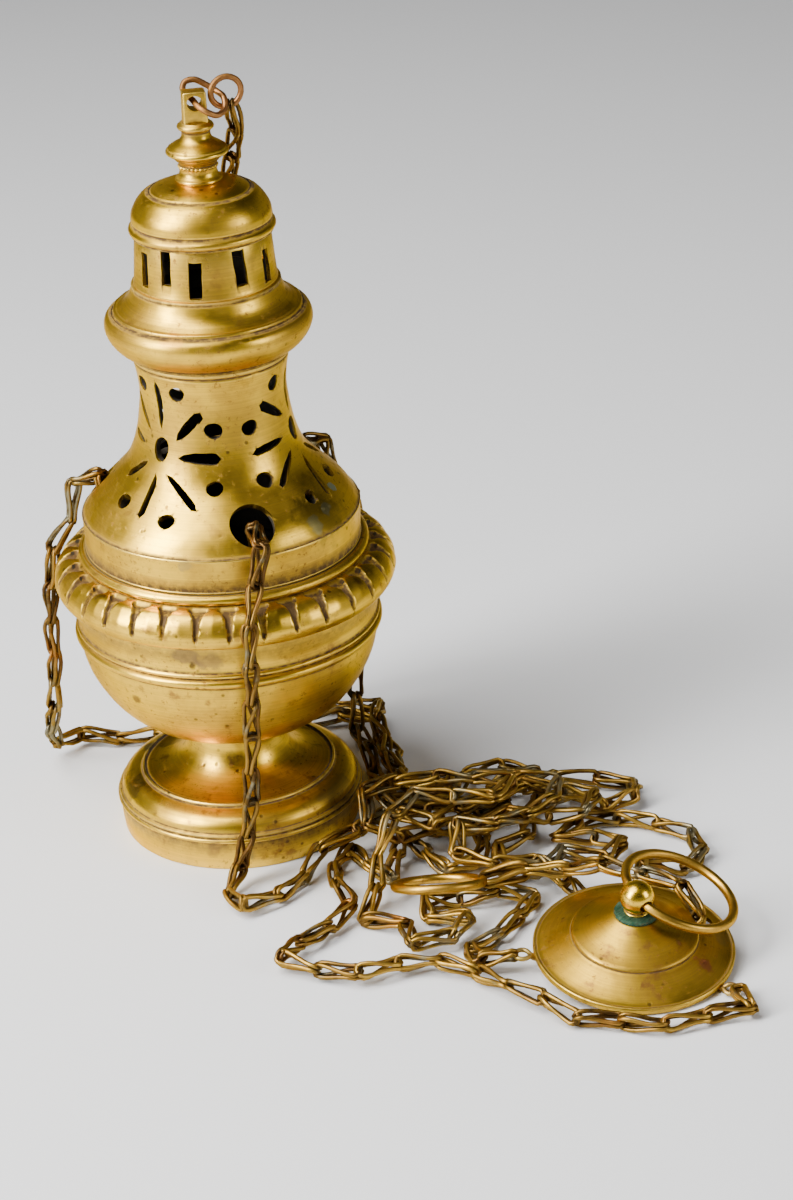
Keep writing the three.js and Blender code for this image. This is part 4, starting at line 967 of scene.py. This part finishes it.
def make_dome():
    outline = [
        (21.4, DRUM_TOP), (21.6, 199.7),
        *bead(21.0, 201.2, 1.25, -68, 66, 8),
        (21.2, 202.9), (21.0, 203.4),
        *curved((21.35, 203.9), (21.0, 206.4), (19.7, 209.0), (17.8, 211.3), (15.9, 212.5)),
        (15.4, 212.6), (15.1, 212.3), (14.8, 212.7),
        *curved((14.5, 212.95), (12.6, 213.9), (10.0, 214.7), (7.0, DOME_TOP)),
        (2.9, DOME_TOP), (2.9, 213.4), (5.8, 213.4), (10.2, 212.2), (15.3, 209.8), (18.6, 205.4),
        (18.8, 201.0), (18.6, DRUM_TOP),
    ]
    turned_brass("lid_cap", outline, "lid", LID_BRASS, "lid_dome",
                 (199.2, 200.4, 0.8), (202.5, 203.9, 0.85), (212.1, 212.8, 0.85))


# Finial with its eye, and the two copper rings

MILLED_BEAD = 219.9
MILLED_BEAD_TEETH = 32


def finial_block():
    """The block on top of the finial, a little narrower towards its top."""
    block = begin(bpy.ops.mesh.primitive_cube_add, size=MM)
    wide, deep, base = 7.4, 5.8, BLOCK_BASE - 0.6
    tall = CENSER_TOP - base
    for vertex in block.data.vertices:
        x, y, z = vertex.co
        narrow = 0.94 if z > 0 else 1.0
        vertex.co = (x * wide * narrow, y * deep * narrow, z * tall + (base + tall / 2) * MM)
    apply_modifier(block, "BEVEL", width=0.55 * MM, segments=3, limit_method="NONE")
    return block


def make_finial():
    outline = [
        (0, 209.6), (2.6, 209.6), (2.6, DOME_TOP), (6.8, DOME_TOP),
        *bead(6.5, 215.9, 0.6, -60, 80, 5), (6.3, 216.8),
        *curved((6.0, 217.2), (5.6, 218.4), (5.7, 219.4), steps=3),
        *bead(5.55, MILLED_BEAD, 0.4, -60, 60, 4),
        *curved((5.5, 220.5), (5.9, 221.2), (6.6, 221.8), steps=3),
        (6.75, 222.2), (7.2, 222.4), (7.6, 223.0), (8.1, 223.2),
        (8.5, 223.6), *bead(8.7, 224.4, 0.75, -70, 60, 6), (8.9, 225.2),
        *curved((8.7, 225.6), (7.2, 226.6), (5.5, 227.6), (4.5, 228.8), (4.3, 230.3), steps=4),
        *bead(4.65, 231.9, 0.9, -75, 75, 7), (4.4, 233.3), (0, 233.3),
    ]
    finial = turned("finial_baluster", outline, 96, soften=0.12)
    for vertex in finial.data.vertices:
        x, y, z = vertex.co / MM
        if abs(z - MILLED_BEAD) < 0.5 and math.hypot(x, y) > 5.2:
            vertex.co.xy *= 1 + 0.035 * math.cos(MILLED_BEAD_TEETH * math.atan2(y, x))
    boolean(finial, finial_block(), "UNION")
    eye = dot_cutter(2.35, 28, 12.0, uneven=0.03)
    eye.data.transform(shift(0, 0, EYE_HEIGHT) @ rotation(90, "X"))
    boolean(finial, eye, "DIFFERENCE")
    finial.data.transform(rotation(6, "Z"))
    settle(finial, "lid", LID_BRASS, ["finial"], softness=1)


# The bent wire ring, as points from the middle of the finial's eye
FINIAL_LOOP = (
    (0, 0, 0), (1.1, -3.4, -0.6), (3.6, -5.2, -2), (6.6, -4, -3.5), (8.9, -1, -2.6),
    (8.9, 1.6, 0.2), (6.6, 4.4, 1.6), (3.6, 5.4, 3.4), (0.6, 5.6, 4.9), (-2.2, 5.4, 4.4),
    (-3, 4.9, 2.4), (-1.4, 3.8, 0.5),
)
JOINING_RADIUS = 4.6
JOINING_PLACE = (9.6, 1.7, EYE_HEIGHT + 1.8)


def ring_points(radius, count, ripple=0.0):
    """Points of a ring in the XY plane, a little out of round and out of flat."""
    points = []
    for i in range(count):
        angle = 2 * math.pi * i / count
        r = radius * (1 + ripple * math.sin(2 * angle + 0.7))
        points.append((r * math.cos(angle), r * math.sin(angle), radius * ripple * math.sin(3 * angle)))
    return points


def make_finial_rings():
    loop = smooth_line(np.array(FINIAL_LOOP, float) + (0, 0, EYE_HEIGHT), 6, closed=True)
    ring = wire("finial_eye_loop", loop, 0.95)
    settle(ring, "finial_link", COPPER, ["finial_ring"], angle=60)
    joining = wire("joining_wire_ring", ring_points(JOINING_RADIUS, 48, 0.02), 0.95)
    move = Matrix.Translation(at(*JOINING_PLACE)) @ rotation(14, "Z") @ rotation(90, "X")
    settle(joining, "finial_link", COPPER, ["joining_ring"], move, angle=60)


# Handle disc, its ball and its ring


def make_disc():
    outline = [
        (29.9, 0), (30.1, 0.3), *bead(29.65, 1.5, 0.5, -15, 135, 6),
        *curved((29.1, 1.8), (27.9, 2.1), (26.0, 2.85), (23.2, 4.15), (21.0, 5.3),
                (19.7, 5.95), (19.2, 6.25), steps=5),
        *curved((19.05, 6.5), (18.9, 7.05), (18.4, 7.5), (17.2, 8.0), (15.4, 8.8), (13.2, 9.95),
                (10.4, 11.4), (8.4, 12.5), (6.6, 13.6), steps=5),
        (2.9, 13.6), (2.9, 12.2), (6.4, 12.2),
        *curved((9.7, 10.2), (17.1, 5.7), (25.4, 1.6), (28.8, 0.0), steps=4),
    ]
    disc = turned("handle_disc_dome", outline)
    hole = dot_cutter(3.6, 28, 24.0, uneven=0.02)
    hole.data.transform(shift(*DISC_HOLE, 5))
    boolean(disc, hole, "DIFFERENCE")
    settle(disc, "handle", DISC_BRASS, ["handle_disc"], DISC_MATRIX)


def make_washer():
    crust = turned("washer_crust", [
        (2.9, 13.6), *curved((6.3, 13.6), (6.6, 14.0), (6.3, 14.5), (5.5, 14.8), steps=3), (2.9, 14.7),
    ], 90, 0)
    lumps = np.random.default_rng(SEED + 1)
    for vertex in crust.data.vertices:
        if math.hypot(vertex.co.x, vertex.co.y) > 4 * MM:
            vertex.co.xy *= 1 + lumps.uniform(-0.035, 0.02)
            vertex.co.z += lumps.uniform(-0.12, 0.08) * MM
    settle(crust, "handle", GREEN, ["handle_washer"], DISC_MATRIX)


RING_BORE_AZIMUTH = 117.9
RING_BORE_RISE = 8.9
RING_DROOP = 16.9


def bore_axes():
    """The ring's directions on the disc: along the ball's bore, out to its far side, and across."""
    azimuth, rise = math.radians(RING_BORE_AZIMUTH), math.radians(RING_BORE_RISE)
    level = math.cos(rise)
    along = Vector((level * math.cos(azimuth), level * math.sin(azimuth), math.sin(rise)))
    side = Vector((math.sin(azimuth), -math.cos(azimuth), 0))
    up = side.cross(along)
    if up.z < 0:
        up.negate()
    droop = math.radians(RING_DROOP)
    out = side * math.cos(droop) - up * math.sin(droop)
    return along, out, out.cross(along).normalized()


def make_ball():
    stem, ball = 2.55, 5.1
    seat = math.degrees(math.acos(stem / ball))
    outline = [
        (0, 8.2), (stem, 8.2), (stem, 14.7), (3.7, 14.7), (3.75, 15.1), (3.2, 15.4),
        *bead(0, BALL_CENTRE, ball, -seat + 14, 90, 20)[:-1], (0, BALL_CENTRE + ball),
    ]
    knob = turned("ball_knob", outline, 64, soften=0.12)
    along, _, _ = bore_axes()
    bore = dot_cutter(2.2, 28, 16.0)
    turn = Vector((0, 0, 1)).rotation_difference(along).to_matrix().to_4x4()
    bore.data.transform(shift(0, 0, BALL_CENTRE) @ turn)
    boolean(knob, bore, "DIFFERENCE")
    settle(knob, "handle", BALL_BRASS, ["handle_ball"], DISC_MATRIX)


def make_handle_ring():
    along, out, across = bore_axes()
    ring = wire("hanging_ring", ring_points(RING_RADIUS, 96), 1.5, fineness=5)
    basis = Matrix((out, along, across)).transposed().to_4x4()
    centre = Vector((0, 0, BALL_CENTRE * MM)) + out * RING_RADIUS * MM
    settle(ring, "handle_ring", RING_BRASS, ["handle_ring"],
           DISC_MATRIX @ Matrix.Translation(centre) @ basis, angle=60)


def make_eyelets():
    """Three wire staples under the disc, whose eyes stand out past its edge."""
    wire_radius, eye_radius = 0.72, 2.2
    eye_centre, eye_height = 33.65, 1.2
    eye = [
        (eye_centre + eye_radius * math.cos(a), eye_radius * math.sin(a), eye_height)
        for a in np.radians(range(-150, 151, 20))
    ]
    shank = [(31.2, 0.62, 0.7), (30.2, 0.6, -0.1), (28.9, 0.6, -0.5), (27.2, 0.6, -0.55)]
    points = [(x, -y, z) for x, y, z in reversed(shank)] + eye + shank
    for name, azimuth in EYELET_AZIMUTHS.items():
        staple = wire(f"disc_staple_{name}", points, wire_radius, closed=False)
        move = DISC_MATRIX @ rotation(azimuth, "Z")
        settle(staple, "handle", DULL_BRASS, [f"disc_eyelet_{name}"], move, angle=60)


PULL_RING_PLACE = (58.6, -70.2, 8.4)
PULL_RING_RADIUS = 13.6


def make_pull_ring():
    ring = wire("lid_pull_ring", ring_points(PULL_RING_RADIUS, 72), 1.5, fineness=4)
    move = Matrix.Translation(at(*PULL_RING_PLACE)) @ rotation(-24, "X")
    return settle(ring, "censer_base", RING_BRASS, ["pull_ring"], move, angle=60)


# Chains of folded wire links, along the routes of the frame's cords

CHAIN_PITCH = 12.9
LINK_WIRE = 0.73
LYING_HEIGHT = 2.7
LAYER_HEIGHT = 5.6
UPWARDS = np.array((0.0, 0.0, 1.0))


def high(layer, *points):
    """Points of a route, at the height of that layer of the pile where they have none."""
    return [tuple(p) if len(p) == 3 else (*p, LYING_HEIGHT + layer * LAYER_HEIGHT) for p in points]


def low(*points):
    """Points of a route that lies on the floor."""
    return high(0, *points)


def polar(*points):
    """Points of a route that are given by radius, azimuth and height."""
    return [around(*p) for p in points]


def inner_route(azimuth):
    """From the bracket inside the bowl up to the hole in the lid."""
    hole = bell_radius(CHAIN_HOLE_HEIGHT)
    return polar(
        (37.6, azimuth, 92.4), (36.4, azimuth, 96.0), (hole - 2.6, azimuth + 3, 103.6),
        (hole - 3.0, azimuth - 1, 109.2), (hole - 1.2, azimuth, 114.6),
        (hole + 1.4, azimuth, CHAIN_HOLE_HEIGHT),
    )


def drop_route(azimuth, lean, points):
    """Out of the hole and down past the skirt and the rim, drawn aside by the lean in degrees,
    and on through the points."""
    hole = bell_radius(CHAIN_HOLE_HEIGHT)
    beside_skirt, beside_rim = 47.5, 56.9
    return polar(
        (hole + 5.2, azimuth, 120.2), (beside_skirt - 1.6, azimuth, 119.2),
        (beside_skirt, azimuth + lean * 0.1, 114.6), (beside_skirt + 0.4, azimuth + lean * 0.3, 108.6),
        (beside_skirt + 1.2, azimuth + lean * 0.5, 103.2),
        (beside_rim - 5.6, azimuth + lean * 0.8, 98.4),
        (beside_rim - 1.4, azimuth + lean, 93.6), (beside_rim + 0.4, azimuth + lean, 86.6),
    ) + low(*points)


def eyelet_route(name, lift):
    """Up to a wire eye of the disc."""
    angle = math.radians(EYELET_AZIMUTHS[name])
    return [on_disc(r * math.cos(angle), r * math.sin(angle), 1.2 + lift) for r in (39.9, 35.7)]


def hanging_chain(side, lean, drop, pile, end):
    """The stretches of a hanging chain, from its bracket inside the bowl to the disc."""
    azimuth = HOLE_AZIMUTHS[side]
    return (
        (f"{side}_chain_inner", [f"chain_{side}_inner"], inner_route(azimuth)),
        (f"{side}_chain_drop", [f"chain_{side}_drop"], drop_route(azimuth, lean, drop)),
        (f"{side}_chain_pile", [f"chain_{side}_floor"], pile),
        (f"{side}_chain_end", [], end),
    )


# A chain is a list of stretches, each with its name, the CAD nodes that it stands for and its
# points. A stretch starts where the one before it ends.
FRONT_CHAIN = hanging_chain(
    "front", -8,
    drop=((5.6, -56.6, 76), (4.9, -55.4, 62), (3.9, -53.4, 46), (2.6, -50.6, 30),
          (0.9, -47.8, 15), (-1.4, -47.6, 6.4)),
    pile=low(
        (-3.2, -50.6, 3), (-6.6, -56), (-7.4, -62.5), (-1, -67.4), (7.5, -63.5), (13.5, -55.5),
        (19, -47.5, 4), (27, -39.5, 8.3),
    ) + high(
        1, (36, -33), (45, -27.5), (56, -25), (66.5, -28), (76, -24.5), (84, -15.5), (92.5, -12),
        (102, -16), (110.5, -23), (112.5, -33), (105, -39), (96, -34), (86.5, -31.5), (76.5, -37),
        (66, -40), (56, -36), (47.5, -39.6, 9), (40.4, -42, 12.5), (36.6, -35.6, 17),
    ) + high(
        3, (41, -27), (50, -23), (59, -26), (68, -30), (77, -27), (84.5, -31), (83, -39.5), (74, -41.5),
        (65, -37), (56, -35), (49.5, -40), (45, -47, 16), (41.5, -54.5, 11), (39.3, -62, 7),
    ) + low(
        (38.4, -69.5, 4), (35.6, -76), (37.4, -82), (43.6, -83.4), (47, -87.4), (46.6, -94.4),
        (53, -98), (61, -96), (66, -90.4), (66, -84.2), (61, -80.3), (54, -79), (50.3, -73.5),
        (54.5, -68.6), (61.5, -69.6), (69, -73.5), (77, -69.5), (86.5, -71.5), (87.8, -80.4),
        (79.5, -84.5), (73.4, -92),
    ),
    end=low((66.8, -98.5), (64.4, -106, 3.4), (68.4, -110.2, 5.2)) + eyelet_route("left", 0),
)
LEFT_CHAIN = hanging_chain(
    "left", 1,
    drop=((-56.6, 16, 76), (-57, 18, 60), (-58, 22, 44), (-59.8, 28, 29),
          (-61.8, 36, 15), (-61.2, 43.6, 6.4)),
    pile=low(
        (-58.4, 48, 3.2), (-52.5, 51.5), (-42, 51), (-29, 50.5), (-14, 47.8), (2, 47), (16, 48.6),
        (29, 52), (40, 53), (47.8, 46.5), (49.6, 36), (50.8, 25), (51.6, 14), (53.5, 3), (60.5, -5),
        (69, -4.5), (73.5, 4), (81, 9.5), (90, 10.4), (96, 8.2), (97, 3.2), (91.5, 0.4), (84.5, -0.2),
        (79.7, -2.8), (80.6, -7.6), (87, -8.8), (95.5, -4.8), (104, -2), (114, -2), (124.5, -4.5),
        (130.5, -12.5), (125.5, -21.5), (115.5, -20), (107, -13.5), (98, -10.5), (91.5, -17.5),
        (91.8, -28), (88, -38), (80.5, -44), (79.6, -52.5), (81, -59.4), (85.6, -62.4), (90, -60),
        (93, -54.6), (98.4, -51.4), (105, -51.4), (112.5, -54), (119.3, -50.6), (119.3, -43.6),
        (113, -40.4), (105.5, -41.6), (99.7, -37.5), (101, -30.6), (107.5, -28.4), (115.5, -29.2),
        (123.5, -30), (133, -33.5), (141, -41.5),
    ),
    end=low(
        (145, -51.5), (140.5, -60), (132.5, -61, 3), (126, -61.4, 5.8), (122.2, -64.6, 8.4),
    ) + eyelet_route("back", 0),
)
RIGHT_CHAIN = hanging_chain(
    "right", -4.5,
    drop=((44.4, 37.8, 74), (43.4, 38.8, 58), (42.4, 39.2, 42), (41.2, 39.8, 26),
          (40.4, 40.4, 14), (40.4, 38.8, 6)),
    pile=low(
        (41, 34.4, 3.2), (42.6, 27.5), (44.6, 18.5), (45.8, 8), (46.2, -3.5), (50.5, -11.8),
        (59.5, -13.4), (69.5, -11.6), (78.5, -13.2), (83.8, -16.8), (82.8, -22), (76.5, -22.8),
        (69, -20), (63, -20), (58, -22.6), (58, -27.2), (63, -29), (69, -28), (76.5, -30.5),
        (77, -37.5), (71, -43.5), (71, -50.5), (66, -54.2),
        (60, -52), (57.5, -45.5), (57, -38), (52.5, -33.6), (47, -36), (46, -43.5), (47.8, -51),
        (44.5, -56), (39.5, -53.5), (38.3, -46), (36.5, -39), (31, -37.2), (27, -44.5), (28.5, -58),
        (30.5, -70), (25.5, -81.5), (15.5, -88), (8.2, -94.6), (11, -103.5), (20.5, -106.5),
        (30, -109), (38.5, -110.5), (46.5, -106.8), (56, -106.8), (63, -113.5), (71, -119.5),
        (79, -126.5), (85.5, -136), (94.5, -142), (104, -145.5),
    ),
    end=low((114, -146.6), (124, -146.4), (134, -145), (141, -142.6, 3.4)) + eyelet_route("front", 1.4),
)
LID_CHAIN = (
    ("lid_chain_upper", ["lid_chain_top"], [
        (10.6, 1.9, 237.0), (12.1, 2.4, 233.6), (12.9, 3.6, 232.7), (12.4, 8.2, 227.3),
    ] + polar(
        (17.6, 52.9, 219.5), (22.6, 64.4, 210.0), (26.4, 71, 200.5), (29.2, 75.3, 190.0),
        (32.7, 80.1, 181.0), (35.6, 83.9, 172.5), (36.9, 86.3, 160.0), (39.4, 88, 146.0),
        (43.2, 89.5, 131.0), (46.5, 90.5, 116.6),
    )),
    ("lid_chain_hang", ["lid_chain_drop"], polar(
        (48.6, 91.4, 105.5), (51.7, 91.8, 99.0), (56.2, 92, 92.5), (57.7, 92, 84.0),
    ) + low((-2, 57.4, 66), (-1.9, 57, 48), (-1.4, 57.4, 30), (0.2, 58.4, 14), (3, 60.6, 6))),
    ("lid_chain_pile", ["lid_chain_floor"], low(
        (8, 62.4, 2.9), (16, 61.5), (27, 61), (37.5, 61), (46.5, 55.5, 4.4), (49.2, 45.5, 8.4),
    ) + high(1, (47.4, 33), (48.2, 20), (50, 7.5), (53.6, -2.4), (58, -11, 11.2)) + high(
        2, (64.5, -15.4), (70.6, -17.4), (71.2, -23), (65.4, -25.6), (57.5, -21.6), (49, -20.5),
        (44.5, -28.5), (48, -37.5), (57, -42.5), (66, -39), (72, -31.5), (79.5, -26), (87, -20.5),
        (96, -18.5), (102.5, -23.5), (100, -31), (92.5, -35), (89.5, -43), (80, -47),
        (70.5, -44.6), (63.8, -47.6, 13.4), (63.8, -54.6, 10.8), (71, -58, 8.8), (83, -61, 8.4),
        (92.5, -60.5, 7.4), (99, -67.4, 4.2))),
    ("lid_chain_beneath", ["lid_chain_under_disc"], low(
        (102, -75, 2.8), (104.5, -83), (109.5, -92), (118, -98.6), (126.5, -101.2),
    ) + [on_disc(18.6, 6.6, -1.2), on_disc(20.9, 7.3, 1.4), on_disc(21.2, 7.4, 6)]),
    ("lid_chain_pull", ["lid_chain_end"], [
        on_disc(*p) for p in (
            (21.1, 7.6, 8.6), (18.8, 10.8, 11.2), (16, 14.6, 11.4), (10.5, 20, 10.4),
            (3.5, 25.6, 9.6), (-5.5, 31, 9),
        )
    ] + [
        (99, -71.6, 11.2), (90.5, -68.4, 10.6), (82, -70.6, 9.4), (76.7, -70.2, 8.6), (72.6, -70.2, 8.4),
    ]),
)


def link_line():
    """The wire of one link as a closed line: length, half width and height. It is an oval bent
    double, narrow where it is folded and wide at its two eyes."""
    fold, waist, eye = 0.75, 1.05, 2.05
    tall, flat_end = 1.95, 0.72
    reach = CHAIN_PITCH + 2 * LINK_WIRE
    leg = [(0.0, fold, 0.0), (0.5, fold + 0.05, 0.8 * tall)]
    for share in (0.0, 0.2, 0.4, 0.6, 0.8, 1.0):
        closing = 0.5 - 0.5 * math.cos(math.pi * share)
        leg.append((
            2.0 + share * (reach - 5.2),
            waist + share * (eye - 0.1 - waist),
            tall + closing * (flat_end - tall),
        ))
    leg += [(reach - 1.3, eye, flat_end), (reach - 0.12, 0.6 * eye, flat_end)]
    upper = leg + [(x, -y, z) for x, y, z in reversed(leg)]
    lower = [(x, y, -z) for x, y, z in reversed(upper)]
    return np.array(upper + lower[1:-1], float)


def unit(vector):
    return vector / np.linalg.norm(vector)


def link_mesh(sides=6):
    """Vertices and faces of one link, from a closed tube along its line."""
    line = link_line()
    count = len(line)
    tangent = np.roll(line, -1, 0) - np.roll(line, 1, 0)
    tangent /= np.linalg.norm(tangent, axis=1)[:, None]
    across = unit(np.cross(tangent[0], (0, 1, 0)))
    frames = []
    for t in tangent:
        across = unit(across - t * (across @ t))
        frames.append(across)
    closing = frames[-1] - tangent[0] * (frames[-1] @ tangent[0])
    other = np.cross(tangent[0], frames[0])
    twist = math.atan2(closing @ other, closing @ frames[0])
    vertices = []
    for i, (centre, t, n) in enumerate(zip(line, tangent, frames)):
        side = np.cross(t, n)
        for k in range(sides):
            angle = 2 * math.pi * k / sides - twist * i / count
            vertices.append(centre + LINK_WIRE * (n * math.cos(angle) + side * math.sin(angle)))
    faces = []
    for i in range(count):
        j = (i + 1) % count
        for k in range(sides):
            m = (k + 1) % sides
            faces.append((i * sides + k, j * sides + k, j * sides + m, i * sides + m))
    return np.array(vertices), np.array(faces)


LINK_VERTICES, LINK_FACES = link_mesh()
# How rubbed each vertex of a link is, from how far out it lies
LINK_WORN = np.clip((np.hypot(LINK_VERTICES[:, 1], LINK_VERTICES[:, 2]) - 1.75) / 0.8, 0, 1)


def lay_joints(stretches):
    """The points where the links of a chain meet, and the stretch that each link belongs to."""
    fine = 16
    line = smooth_line(np.array([p for _, _, route in stretches for p in route], float), fine)
    run = np.concatenate([[0], np.cumsum(np.linalg.norm(np.diff(line, axis=0), axis=1))])
    marks, homes = [0.0], []
    last = -1
    for name, _, route in stretches:
        last += len(route)
        start, end = marks[-1], run[min(last * fine, len(run) - 1)]
        share = max(2, round((end - start) / CHAIN_PITCH))
        marks += list(np.linspace(start, end, share + 1)[1:])
        homes += [name] * share
    return np.stack([np.interp(marks, run, line[:, i]) for i in range(3)], 1), homes


def unsettle(joints, homes, stray):
    """Sets the joints aside, left and right in turn, and lifts those in the pile unevenly."""
    count = len(joints) - 2
    along = joints[2:] - joints[:-2]
    sideways = np.cross(along, UPWARDS)
    size = np.linalg.norm(sideways, axis=1)[:, None]
    sideways = np.where(size > 1e-3, sideways / np.maximum(size, 1e-3), 0)
    zigzag = np.where(np.arange(count) % 2, 1, -1)[:, None] * stray.uniform(0.2, 1.7, (count, 1))
    flat = np.abs(along[:, 2:]) < 0.5 * np.linalg.norm(along, axis=1)[:, None]
    joints[1:-1] += sideways * zigzag * np.where(flat, 1.0, 0.25)
    piled = np.array([name.endswith("pile") for name in homes[1:]])[:, None] & flat
    joints[1:-1, 2:] += np.where(piled, stray.uniform(-0.5, 2.6, (count, 1)), 0)


def worn_link(length, width, stray):
    """The vertices of one link, stretched to its length, and twisted and bowed a little."""
    x, y, z = (LINK_VERTICES * (length / CHAIN_PITCH, width, 1.0)).T
    share = x / x.max() - 0.5
    twist = share * math.radians(stray.uniform(15, 75) * (1 if stray.random() < 0.8 else -1))
    bow = stray.uniform(-0.75, 0.75) * (1 - 4 * share**2)
    return x, y * np.cos(twist) - z * np.sin(twist) + bow, y * np.sin(twist) + z * np.cos(twist)


def lay_links(joints, homes, stray, end_width):
    """The shape of each link, laid from joint to joint and rolled about its length."""
    shapes = []
    normal = UPWARDS
    for start, end, home in zip(joints, joints[1:], homes):
        length = np.linalg.norm(end - start)
        forward = (end - start) / length
        normal = unit(normal - forward * (normal @ forward))
        level = UPWARDS - forward * forward[2]
        if np.linalg.norm(level) > 0.7:
            # A link that lies down turns back towards flat.
            level = unit(level)
            normal = unit(normal * 0.45 + level * np.sign(normal @ level + 1e-6) * 0.55)
        most = 75 if home.endswith("pile") else 35
        roll = math.radians(stray.uniform(-most, most))
        upright = normal * math.cos(roll) + np.cross(normal, forward) * math.sin(roll)
        width = end_width if len(shapes) == len(homes) - 1 else 1.0
        x, y, z = worn_link(length, width, stray)
        shape = start + np.outer(x - LINK_WIRE, forward) + np.outer(y, np.cross(upright, forward))
        shape += np.outer(z, upright)
        shape[:, 2] += max(0.0, 0.02 - shape[:, 2].min())
        shapes.append(shape)
    return shapes


def make_chain(stretches, seed, end_width=1.0):
    """Lays rigid links along the chain's whole route and shares them among its stretches. It
    returns each stretch's object, the CAD nodes that it stands for, its path and its length."""
    stray = np.random.default_rng(seed)
    joints, homes = lay_joints(stretches)
    unsettle(joints, homes, stray)
    shapes = lay_links(joints, homes, stray, end_width)
    made = {}
    for name, replaced, _ in stretches:
        first = homes.index(name)
        last = first + homes.count(name)
        centres = smooth_line(joints[first:last + 1], 5)
        length = np.linalg.norm(np.diff(centres, axis=0), axis=1).sum()
        bare = -0.25 if name.endswith("drop") else 0.1
        gold = [bare + stray.uniform(-0.25, 0.3) for _ in range(first, last)]
        piece = chain_piece(name, shapes[first:last], gold)
        made[name] = (piece, replaced, [at(*p) for p in centres], length)
    return made


def chain_piece(name, shapes, gold):
    """One stretch of chain, with how golden each of its links is."""
    count = len(LINK_VERTICES)
    vertices = np.concatenate(shapes) * MM + np.array(AXIS)
    faces = np.concatenate([LINK_FACES + i * count for i in range(len(shapes))])
    mesh = bpy.data.meshes.new(name)
    mesh.from_pydata(vertices.tolist(), [], faces.tolist())
    mesh.update()
    piece = add_object(name, mesh)
    edit(piece, outwards)
    mesh.polygons.foreach_set("use_smooth", [True] * len(mesh.polygons))
    write_mask(piece, "edge", np.tile(LINK_WORN, len(shapes)))
    write_mask(piece, "gold", np.repeat(gold, count))
    mesh.materials.append(CHAIN_METAL)
    return piece


def make_chains():
    for seed, (side, stretches) in enumerate(
        (("front", FRONT_CHAIN), ("left", LEFT_CHAIN), ("right", RIGHT_CHAIN)), SEED
    ):
        made = make_chain(stretches, seed)
        for name, (piece, replaced, path, _) in made.items():
            if replaced:
                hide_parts(*replaced)
            if name.endswith("inner"):
                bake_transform(piece)
            elif name.endswith("drop"):
                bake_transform(piece)
            elif name.endswith("end"):
                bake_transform(piece)
            else:
                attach(piece, "censer_base")


def make_lid_chain():
    made = make_chain(LID_CHAIN, SEED + 3, end_width=1.7)
    for piece, replaced, _, _ in made.values():
        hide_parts(*replaced)
    upper, hang, pile, beneath, pull = (made[name][0] for name, _, _ in LID_CHAIN)
    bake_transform(upper)
    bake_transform(hang)
    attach(pile, "censer_base")
    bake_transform(beneath)
    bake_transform(pull)


# Floor and light


def make_floor():
    """A floor so wide that its edges stay out of sight, a hair under the censer's foot."""
    metres_wide = 24
    floor = begin(bpy.ops.mesh.primitive_plane_add, size=metres_wide)
    floor.name = "studio_floor"
    floor.data.transform(shift(0, 0, -0.2))
    made, nodes, shader = new_material("pale_floor")
    nodes.feed(shader, {"Base Color": (0.80, 0.80, 0.80), "Roughness": 0.6})
    floor.data.materials.append(made)


def add_light(name, place, width, height, power):
    """A softbox that is turned to the middle of the part."""
    data = bpy.data.lights.new(name, "AREA")
    data.shape = "RECTANGLE"
    data.size = width
    data.size_y = height
    data.energy = power
    here, middle = at(*place), at(20, -10, 110)
    turn = (here - middle).to_track_quat("Z", "Y").to_matrix().to_4x4()
    add_object(name, data).matrix_world = Matrix.Translation(here) @ turn


def add_lights():
    add_light("left_softbox", (-1060, -560, 830), width=0.5, height=1.0, power=46)
    add_light("right_softbox", (1080, -580, 560), width=0.42, height=0.6, power=6.5)
    add_light("overhead_softbox", (-480, -160, 1150), width=0.8, height=0.8, power=20)
    world = bpy.data.worlds.new("studio")
    world.use_nodes = True
    nodes = Nodes(world.node_tree)
    direction = nodes.add("ShaderNodeTexCoord", {})["Generated"]
    height = nodes.add("ShaderNodeSeparateXYZ", {"Vector": direction})["Z"]
    dark = nodes.spread(height, 0.05, 0.55)
    colour = nodes.layered((0.32, 0.32, 0.33), (dark, (0.025, 0.025, 0.027)))
    nodes.feed(world.node_tree.nodes["Background"], {"Color": colour, "Strength": 0.8})
    bpy.context.scene.world = world


def dress_kept_nodes():
    """Materials for the frame's own nodes that are shown as they are."""
    for cad_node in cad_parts.values():
        if cad_node.hide_render:
            continue
        cad_node.data.materials.clear()
        cad_node.data.materials.append(DULL_BRASS)


pull_ring = make_pull_ring()
make_chains()
make_lid_chain()
make_foot()
make_bowl()
make_rim()
make_pan()
make_bell()
make_collar()
make_drum()
make_dome()
make_finial()
make_finial_rings()
make_disc()
make_washer()
make_ball()
make_handle_ring()
make_eyelets()
dress_kept_nodes()
make_floor()
add_lights()
